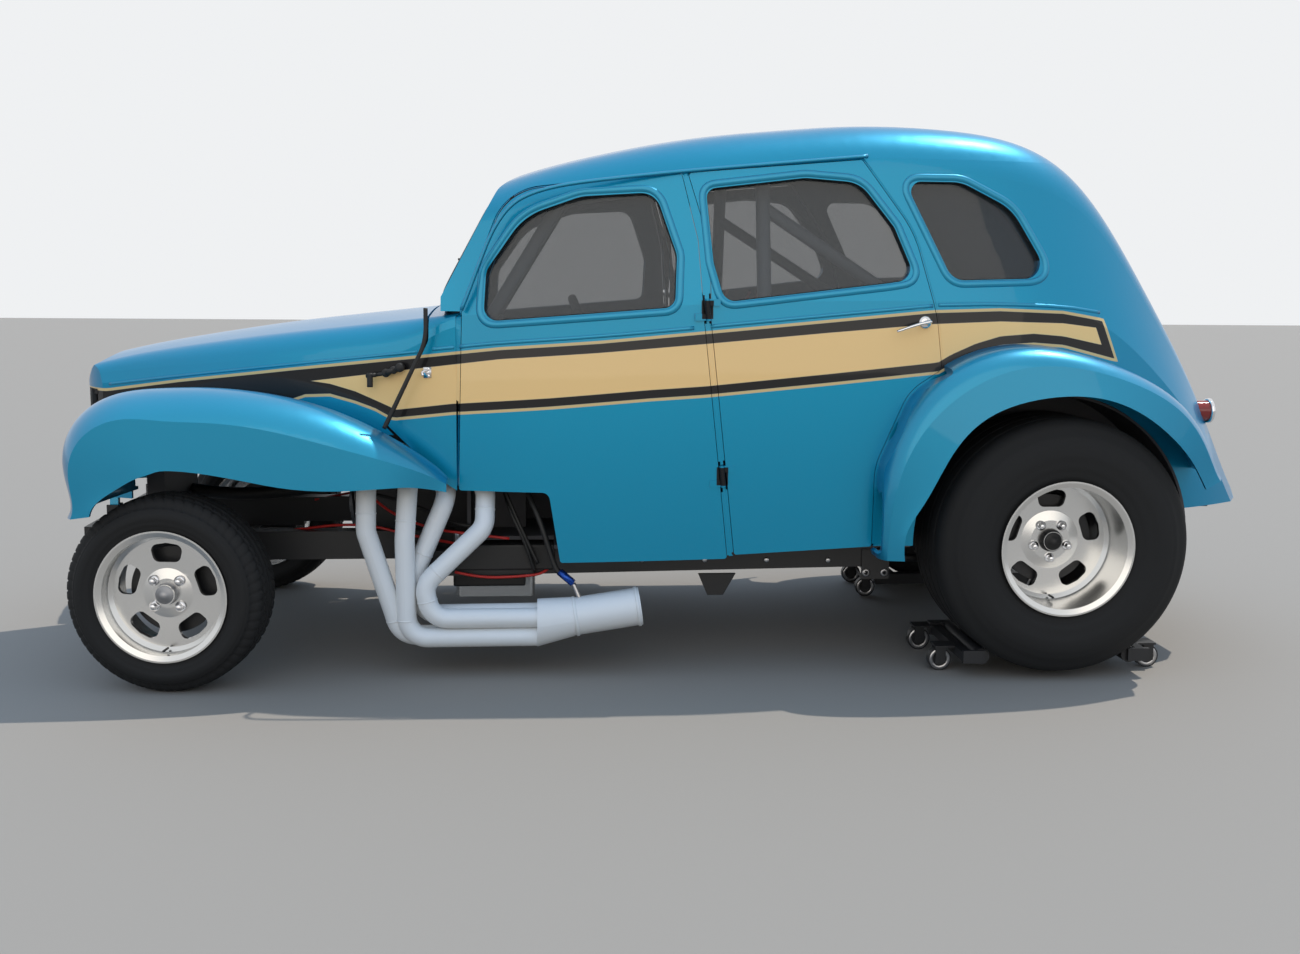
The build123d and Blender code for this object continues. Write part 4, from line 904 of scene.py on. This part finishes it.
# Wheel trim: lug nuts, caps, valve stems
rimLook = {
    "front": {"face": 0.036, "lugs": 4, "circle": 0.054, "cap": 0.030, "capLook": "gear"},
    "rear": {"face": 0.024, "lugs": 5, "circle": 0.057, "cap": 0.033, "capLook": "rubber"},
}
lugs = {"nut": [(onAxis, 0.014), (0.007, 0.014), (0.0105, 0.009), (0.0105, -0.004)], "out": 0.008,
        "washer": [(onAxis, 0.0), (0.0155, 0.0), (0.0155, -0.006)], "sunk": 0.002}
valve = {"out": 0.03, "in": 0.022, "root": 0.02, "tip": 0.014, "radius": 0.0035}
up = Vector((0, 0, 1))
for key, (centre, axis, look) in wheels.items():
    rim = rimLook[key.split("_")[0]]
    across = up.cross(axis).normalized()
    parts = []
    for i in range(rim["lugs"]):
        turn = math.pi / 2 + 2 * math.pi / rim["lugs"] * (i + 0.5)
        spoke = (across * math.cos(turn) + up * math.sin(turn)) * rim["circle"]
        spot = centre + axis * (rim["face"] + lugs["out"]) + spoke
        parts.append(lathe(lugs["nut"], spot, axis, 6))
        parts.append(lathe(lugs["washer"], spot - axis * lugs["sunk"], axis, 20))
    newPiece(f"lugNuts_{key}", *joined(parts), f"wheel_{key}", looks["chrome"])
    wide = rim["cap"]
    cap = [(onAxis, 0.036), (0.012, 0.036), (0.014, 0.030), (0.024, 0.028), (wide, 0.020),
           (wide + 0.003, 0.004), (wide + 0.003, -0.004)]
    newPiece(f"hubCap_{key}", *lathe(cap, centre + axis * rim["face"], axis, 32), f"wheel_{key}",
             looks[rim["capLook"]])
    stem = centre + axis * (rim["face"] + valve["out"]) - up * (look["bead"] - valve["in"])
    ends = [tuple(stem - axis * valve["root"]), tuple(stem + axis * valve["tip"])]
    newPiece(f"valveStem_{key}", *tube(resample(ends, 4), valve["radius"], 10), f"wheel_{key}",
             looks["rubber"])
print("wheel trim")

# Header beads, flanges and band
headerLook = {
    "runs": [
        [(938, 262, 640), (946, 585, 600), (946, 600, 455), (846, 578, 127), (430, 560, 132)],
        [(830, 262, 640), (822, 572, 600), (832, 594, 430), (827, 602, 126), (430, 608, 128)],
        [(750, 262, 640), (708, 530, 548), (803, 552, 325), (790, 552, 186), (430, 560, 190)],
        [(690, 262, 640), (690, 468, 612), (590, 512, 592), (592, 572, 462), (776, 606, 290),
         (752, 612, 187), (430, 612, 187)],
    ],
    "bead": [(0.0285, -0.004), (0.0312, -0.002), (0.0315, 0.001), (0.0285, 0.004)], "back": 0.056,
    "flange": ((-0.042, -0.001, -0.042), (0.042, 0.009, 0.042)), "bolts": (-0.033, 0.033),
    "collector": (0.318, 0.6, 0.1862), "behind": (-205, 0, 31), "rings": (0.004, 0.196),
    "ring": [(0.0575, -0.006), (0.0615, -0.004), (0.0615, 0.004), (0.0575, 0.006)],
}


def headerTrim():
    # A weld bead before each bend, a bolted flange at each port, two rings on the collector.
    parts = []
    for run in headerLook["runs"]:
        points = np.array(run, float) / 1000
        for i in range(1, len(points) - 1):
            before = points[i - 1] - points[i]
            before /= np.linalg.norm(before)
            spot = points[i] + before * headerLook["back"]
            parts.append(lathe(headerLook["bead"], spot, before, 28))
        port = points[0]
        parts.append(block(*(port + corner for corner in headerLook["flange"])))
        for dx in headerLook["bolts"]:
            parts.append(bolt(port + (dx, 0.009, 0.0), (0, 1, 0), 0.008, 0.007))
    behind = Vector(headerLook["behind"]).normalized()
    for along in headerLook["rings"]:
        spot = Vector(headerLook["collector"]) + behind * along
        parts.append(lathe(headerLook["ring"], spot, behind, 40))
    return joined(parts)


newPiece("headerTrim", *bothSides(headerTrim()), "body", looks["header"])
print("headers")

# Underbody wiring, control box and brackets seen behind the headers
def softTube(rows, radius, rounds=3, count=40, sides=8):
    # A tube along x, y, z rows in mm, smoothed.
    return tube(resample(smoothed(np.array(rows, float) / 1000, rounds), count), radius, sides)


cables = {
    "redCables": {"look": "red", "radius": 0.0045, "runs": [
        [(1020, 280, 560), (900, 380, 470), (760, 440, 430), (640, 470, 420), (520, 470, 405)],
        [(1250, 300, 400), (1000, 360, 440), (820, 400, 400), (640, 462, 380)],
        [(690, 474, 300), (600, 478, 282), (500, 478, 284), (408, 474, 291), (380, 440, 330)]]},
    "blackCables": {"look": "rubber", "radius": 0.006, "runs": [
        [(980, 270, 520), (820, 380, 500), (700, 450, 450), (600, 470, 440)],
        [(560, 300, 640), (530, 480, 520), (470, 500, 400), (440, 480, 300)],
        [(650, 300, 800), (560, 440, 620), (500, 490, 480), (430, 500, 330)]]},
}
for name, cable in cables.items():
    parts = [softTube(run, cable["radius"]) for run in cable["runs"]]
    newPiece(name, *bothSides(joined(parts)), "body", looks[cable["look"]])
hose = {
    "run": [(500, 420, 640), (455, 520, 545), (424, 560, 480), (399, 574, 404), (376, 578, 330),
            (362, 580, 318)], "radius": 0.009,
    "fitting": [(0.364, 0.579, 0.322), (0.322, 0.590, 0.288)], "fittingR": 0.012,
    "tube": [(0.322, 0.590, 0.288), (0.300, 0.600, 0.236)], "tubeR": 0.007,
}
newPiece("fuelHose", *softTube(hose["run"], hose["radius"], 2, sides=12), "body", looks["rubber"])
newPiece("hoseFitting", *tube(np.array(hose["fitting"]), hose["fittingR"], 6), "body", looks["blue"])
newPiece("hoseTube", *tube(resample(hose["tube"], 8), hose["tubeR"], 12), "body", looks["steel"])
controlBox = {"blocks": (((0.47, 0.30, 0.235), (0.70, 0.40, 0.282)),
                         ((0.377, 0.36, 0.303), (0.690, 0.472, 0.385))), "bevel": 0.006}
box = joined([block(low, high) for low, high in controlBox["blocks"]])
beveled(newPiece("controlBox", *box, "body", looks["rubber"], False), controlBox["bevel"])
rail = {
    "bolts": (0.30, 0.10, -0.10, -0.30, -0.50), "out": 0.460, "high": 0.335, "fall": 0.013,
    "holes": (-0.685, -0.625), "rim": [(0.0075, 0.001), (0.0125, 0.001), (0.0125, -0.001)],
    "bracket": [(-0.08, 0.285), (-0.20, 0.285), (-0.16, 0.215), (-0.11, 0.215)],
    "bracketOut": (0.455, 0.467),
}
bolts = [bolt((x, rail["out"], rail["high"] - rail["fall"] * (0.3 - x)), (0, 1, 0), 0.009, 0.006)
         for x in rail["bolts"]]
bolts += [lathe(rail["rim"], (x, 0.466, 0.283), (0, 1, 0), 24) for x in rail["holes"]]
newPiece("railBolts", *bothSides(joined(bolts)), "body", looks["steel"])
points = np.array([(x, y, z) for y in rail["bracketOut"] for x, z in rail["bracket"]])
newPiece("railBracket", *bothSides((points, boxFaces)), "body", looks["chassis"], False)
print("underbody")

# Windscreen rubber and wipers
def planeLoop(centre, across, up, halfLow, halfHigh, halfTall, corner, count):
    # A rounded four-sided outline in the plane of across and up.
    edge = [(-halfLow, -halfTall, corner), (halfLow, -halfTall, corner), (halfHigh, halfTall, corner),
            (-halfHigh, halfTall, corner)]
    loop = resample(edgeLoop(edge, 9) / 1000, count, True)
    return np.asarray(centre) + loop[:, :1] * np.asarray(across) + loop[:, 1:] * np.asarray(up)


screen = {"slope": (-194, 0, 372), "middle": (0.645, 0, 1.304), "sunk": 0.004,
          "halves": (505, 440, 150), "corner": 60, "points": 160, "size": (0.026, 0.010)}
slope = Vector(screen["slope"]).normalized()
outward = Vector((0, 1, 0)).cross(slope)
middle = np.array(screen["middle"]) - np.array(outward) * screen["sunk"]
loop = planeLoop(middle, (0, 1, 0), tuple(slope), *screen["halves"], screen["corner"], screen["points"])
newPiece("screenRubber", *sweep(loop, rounded(*screen["size"]), tuple(outward), True), "body",
         looks["rubber"])
wipers = {"feet": (0.16, -0.20), "footAt": (0.728, 1.128), "tipAt": (0.66, 1.262), "reach": 0.20,
          "lift": (0.012, 0, 0.006), "armR": 0.004, "bladeR": 0.0035,
          "blade": ((0.01, -0.16, -0.005), (0.01, 0.10, 0.012)), "cap": (0.012, 0.02, 16)}
wiper = []
for y in wipers["feet"]:
    foot = np.array((wipers["footAt"][0], y, wipers["footAt"][1]))
    tip = np.array((wipers["tipAt"][0], y + wipers["reach"], wipers["tipAt"][1]))
    arm = [foot + wipers["lift"], tip + wipers["lift"]]
    wiper.append(tube(resample(arm, 8), wipers["armR"], 8))
    wiper.append(tube(resample([tip + end for end in wipers["blade"]], 8), wipers["bladeR"], 8))
    wiper.append(bolt(foot, tuple(outward), *wipers["cap"]))
newPiece("wipers", *joined(wiper), "body", looks["rubber"])
print("screens")

# Cabin: harness, gauges, shifter
harness = {  # x, share of the spread and z of each strap, in mm
    "rows": [(-262, 1, 1180), (-200, 1, 1035), (-150, 1, 1020), (-60, 0.9, 860), (60, 0.7, 640),
             (120, 0, 625)],
    "seatAt": 345, "spreads": (-90, 90), "size": (0.05, 0.003), "colour": (0.35, 0.02, 0.01),
}
strapRing = np.array([(-0.5, -0.5), (0.5, -0.5), (0.5, 0.5), (-0.5, 0.5)]) * harness["size"]
straps = []
for side in (1, -1):
    for spread in harness["spreads"]:
        run = np.array([(x, harness["seatAt"] + spread * share, z) for x, share, z in harness["rows"]])
        path = resample(smoothed(run / 1000, 3), 40)
        path[:, 1] *= side
        straps.append(sweep(path, strapRing, (0.3, 0, 1)))
newPiece("harness", *joined(straps), "body", setMaterial("harnessRed", harness["colour"], rough=0.8))
dials = {"rows": ((0.20, 0.03), (0.30, 0.045), (0.40, 0.045), (0.50, 0.03)), "at": (0.5595, 1.015)}
gauges = []
for y, r in dials["rows"]:
    dial = [(onAxis, 0.004), (r * 0.9, 0.004), (r, 0.010), (r, -0.01)]
    gauges.append(lathe(dial, (dials["at"][0], y, dials["at"][1]), (-1, 0, 0), 28))
newPiece("gauges", *joined(gauges), "body", looks["chrome"])
shifter = {"rod": [(120, 0, 598), (110, 10, 720), (80, 20, 830)], "radius": 0.008,
           "knob": [(onAxis, 0.028), (0.016, 0.02), (0.022, 0.0), (0.014, -0.018)],
           "knobAt": (0.078, 0.02, 0.84), "lean": (-0.2, 0.05, 1),
           "base": ((0.04, -0.07, 0.60), (0.22, 0.07, 0.63))}
rod = softTube(shifter["rod"], shifter["radius"], 2, 20, 10)
knob = lathe(shifter["knob"], shifter["knobAt"], shifter["lean"], 20)
newPiece("shifter", *joined([rod, knob, block(*shifter["base"])]), "body", looks["chrome"])
print("cabin")

# Engine bay
covers = {"x": (0.62, 0.98), "y": (0.155, 0.245), "z": (0.740, 0.812), "bevel": 0.012,
          "ribs": np.linspace(0.66, 0.94, 6), "ribHalf": 0.004, "ribY": (0.165, 0.235),
          "ribZ": (0.812, 0.817)}


def twinBlocks(x, y, z):
    # Boxes on both sides of the middle from low and high x, y, z.
    blocks = []
    for side in (-1, 1):
        low, high = sorted(side * v for v in y)
        blocks.append(block((x[0], low, z[0]), (x[1], high, z[1])))
    return blocks


cover = joined(twinBlocks(covers["x"], covers["y"], covers["z"]))
beveled(newPiece("valveCovers", *cover, "body", looks["chrome"], False), covers["bevel"], 3)
ribs = []
for x in covers["ribs"]:
    ribs += twinBlocks((x - covers["ribHalf"], x + covers["ribHalf"]), covers["ribY"], covers["ribZ"])
newPiece("coverRibs", *joined(ribs), "body", looks["gear"], False)
cleaner = {"can": [(onAxis, 0.0), (0.165, 0.0), (0.172, 0.008), (0.172, 0.052), (0.165, 0.060),
                   (0.02, 0.064), (0.012, 0.078), (onAxis, 0.08)], "at": (0.82, 0.0, 0.88)}
newPiece("airCleaner", *lathe(cleaner["can"], cleaner["at"], (0, 0, 1), 64), "body", looks["chrome"])
hoses = [
    [(1640, 110, 770), (1500, 110, 790), (1300, 60, 800), (1120, 20, 800), (1030, 10, 760)],
    [(1640, -120, 470), (1480, -120, 450), (1250, -110, 470), (1030, -120, 500)],
]
newPiece("radiatorHoses", *joined([softTube(run, 0.022, sides=14) for run in hoses]), "body",
         looks["rubber"])
pulleys = []
for y, z, r in ((0, 0.45, 0.085), (0, 0.70, 0.075), (0.17, 0.66, 0.04)):
    wheel = [(onAxis, 0.03), (r * 0.5, 0.03), (r * 0.55, 0.02), (r, 0.02), (r * 0.93, 0.0),
             (r, -0.008), (onAxis, -0.01)]
    pulleys.append(lathe(wheel, (1.045, y, z), (1, 0, 0), 40))
newPiece("pulleys", *joined(pulleys), "body", looks["gear"])
fanBelt = {"loop": [(-0.085, 0.45), (-0.06, 0.39), (0.0, 0.365), (0.07, 0.40), (0.20, 0.64),
                    (0.205, 0.68), (0.16, 0.70), (0.05, 0.77), (-0.05, 0.765), (-0.076, 0.70)],
           "x": 1.052, "half": (0.006, 0.003)}
path = smoothed(np.array([(fanBelt["x"], y, z) for y, z in fanBelt["loop"]]), 2, True)
ring = np.array([(-1, -1), (1, -1), (1, 1), (-1, 1)]) * fanBelt["half"]
newPiece("fanBelt", *sweep(resample(path, 80, True), ring, (1, 0, 0), True), "body", looks["rubber"])
wires = []
for side in (-1, 1):
    for i, x in enumerate(np.linspace(640, 960, 4)):
        lead = [(600, side * 30, 840 + 4 * i), (x - 50, side * 120, 845), (x, side * 200, 840),
                (x, side * 268, 750), (x, side * 268, 700)]
        wires.append(softTube(lead, 0.004, count=30))
newPiece("sparkLeads", *joined(wires), "body", looks["red"])
finLook = {"x": (1.6985, 1.7012), "half": 0.20, "rows": np.linspace(0.48, 0.76, 57), "thick": 0.0008}
fins = [block((finLook["x"][0], -finLook["half"], z - finLook["thick"]),
              (finLook["x"][1], finLook["half"], z + finLook["thick"])) for z in finLook["rows"]]
newPiece("radiatorFins", *joined(fins), "body", looks["steel"], False)
print("engine bay")

# Coil springs at the back
spring = {"turns": 8, "radius": 0.043, "x": -1.232, "y": 0.26, "z": 0.42, "high": 0.17, "wire": 0.005}
coils = []
for side in (-1, 1):
    turns = np.linspace(0, spring["turns"] * 2 * math.pi, 260)
    path = np.stack([spring["x"] + spring["radius"] * np.cos(turns),
                     side * spring["y"] + spring["radius"] * np.sin(turns),
                     spring["z"] + spring["high"] * turns / turns[-1]], 1)
    coils.append(tube(path, spring["wire"], 8))
newPiece("coilSprings", *joined(coils), "body", looks["red"])
print("springs")

# Faces of the dolly casters
caster = {"middle": -1.17, "out": 0.338, "rows": (0.366, 0.600), "half": 0.0125, "high": 0.037,
          "face": [(0.022, -0.0006), (0.024, 0.0008), (0.031, 0.0008), (0.033, -0.0006)]}
parts = []
for way in (-1, 1):
    x = caster["middle"] + way * caster["out"]
    for y in caster["rows"]:
        for side in (-1, 1):
            spot = (x, y + side * caster["half"], caster["high"])
            parts.append(lathe(caster["face"], spot, (0, side, 0), 32))
newPiece("casterFaces", *bothSides(joined(parts)), "body", looks["steel"])
print("dollies")

# Tail lamp rings
lampRing = {"profile": [(0.033, -0.01), (0.040, -0.008), (0.041, 0.002), (0.036, 0.004), (0.033, 0.0)],
            "at": (-1.792, 0.372, 0.800)}
rings = lathe(lampRing["profile"], lampRing["at"], (-1, 0, 0), 40, True)
newPiece("lampRings", *bothSides(rings), "body", looks["chrome"])
print("rear trim")

# Stage
groundAt = {"half": 30, "colour": (0.25, 0.222, 0.188)}
groundLook = setMaterial("groundGrey", groundAt["colour"], rough=0.9)
corners = [(x * groundAt["half"], y * groundAt["half"], 0)
           for x, y in ((-1, -1), (1, -1), (1, 1), (-1, 1))]
ground = newPiece("ground", corners, [[0, 1, 2, 3]], "body", groundLook)
ground.parent = None
del ground["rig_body"]
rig.stage(ground)
camera = bpy.data.objects.new("camera", bpy.data.cameras.new("camera"))
bpy.context.scene.collection.objects.link(camera)
cameraAt = {"place": (0.419, 4.561, 1.233), "yaw": 4.75, "pitch": 6.87, "roll": 0.51,
            "lens": 36.0 * 1317 / 1300, "shift": 44 / 1300}
yaw, pitch, roll = (math.radians(cameraAt[k]) for k in ("yaw", "pitch", "roll"))
flat = Vector((-math.sin(yaw), -math.cos(yaw), 0))
right = Vector((-math.cos(yaw), math.sin(yaw), 0))
forward = flat * math.cos(pitch) - Vector((0, 0, 1)) * math.sin(pitch)
upward = right.cross(forward)
rightRolled = right * math.cos(roll) + upward * math.sin(roll)
upRolled = upward * math.cos(roll) - right * math.sin(roll)
camera.matrix_world = Matrix([[rightRolled[k], upRolled[k], -forward[k], cameraAt["place"][k]]
                              for k in range(3)] + [[0, 0, 0, 1]])
camera.data.sensor_width = 36.0
camera.data.lens = cameraAt["lens"]
camera.data.shift_y = -cameraAt["shift"]
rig.stage(camera)
bpy.context.scene.camera = camera


lamps = {
    "sun": {"place": (-3, -1.5, 6), "aim": (0, 0, 0), "power": 3.2, "angle": 0.01,
            "colour": (1, 0.97, 0.92)},
    "bounce": {"place": (0.5, 5, 1.6), "aim": (0, 0, 0.6), "power": 0.7, "angle": 1.2,
               "colour": (1, 0.86, 0.68)},
}
for name, lamp in lamps.items():
    data = bpy.data.lights.new(name, "SUN")
    data.energy = lamp["power"]
    data.color = lamp["colour"]
    data.angle = lamp["angle"]
    obj = bpy.data.objects.new(name, data)
    obj.location = lamp["place"]
    aim = Vector(lamp["aim"]) - Vector(lamp["place"])
    obj.rotation_euler = aim.to_track_quat("-Z", "Y").to_euler()
    bpy.context.scene.collection.objects.link(obj)
    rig.stage(obj)
sky = {"low": (0.16, 0.17, 0.15), "high": (0.48, 0.68, 0.98), "seen": (0.64, 0.65, 0.66),
       "from": 0.05, "blend": 3.0, "strength": 1.35}
world = bpy.data.worlds.new("sky")
world.use_nodes = True
bpy.context.scene.world = world
tree = world.node_tree
background = tree.nodes["Background"]
place = tree.nodes.new("ShaderNodeTexCoord")
split = tree.nodes.new("ShaderNodeSeparateXYZ")
tree.links.new(place.outputs["Generated"], split.inputs[0])
rise = mathNode(tree, "SUBTRACT", split.outputs[2], sky["from"])
rise = mathNode(tree, "MULTIPLY", rise, sky["blend"], clamp=True)
lit = mixColour(tree, rise, sky["low"], sky["high"])
path = tree.nodes.new("ShaderNodeLightPath")
shown = path.outputs["Is Camera Ray"]
for ray in ("Is Glossy Ray", "Is Transmission Ray"):
    shown = mathNode(tree, "MAXIMUM", shown, path.outputs[ray])
seen = mixColour(tree, shown, lit, sky["seen"])
tree.links.new(seen, background.inputs["Color"])
background.inputs["Strength"].default_value = sky["strength"]
bpy.context.scene.view_settings.view_transform = "Standard"
print("stage set")

sizes["visual"] = boundsList()
writeSizes("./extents.json", sizes)
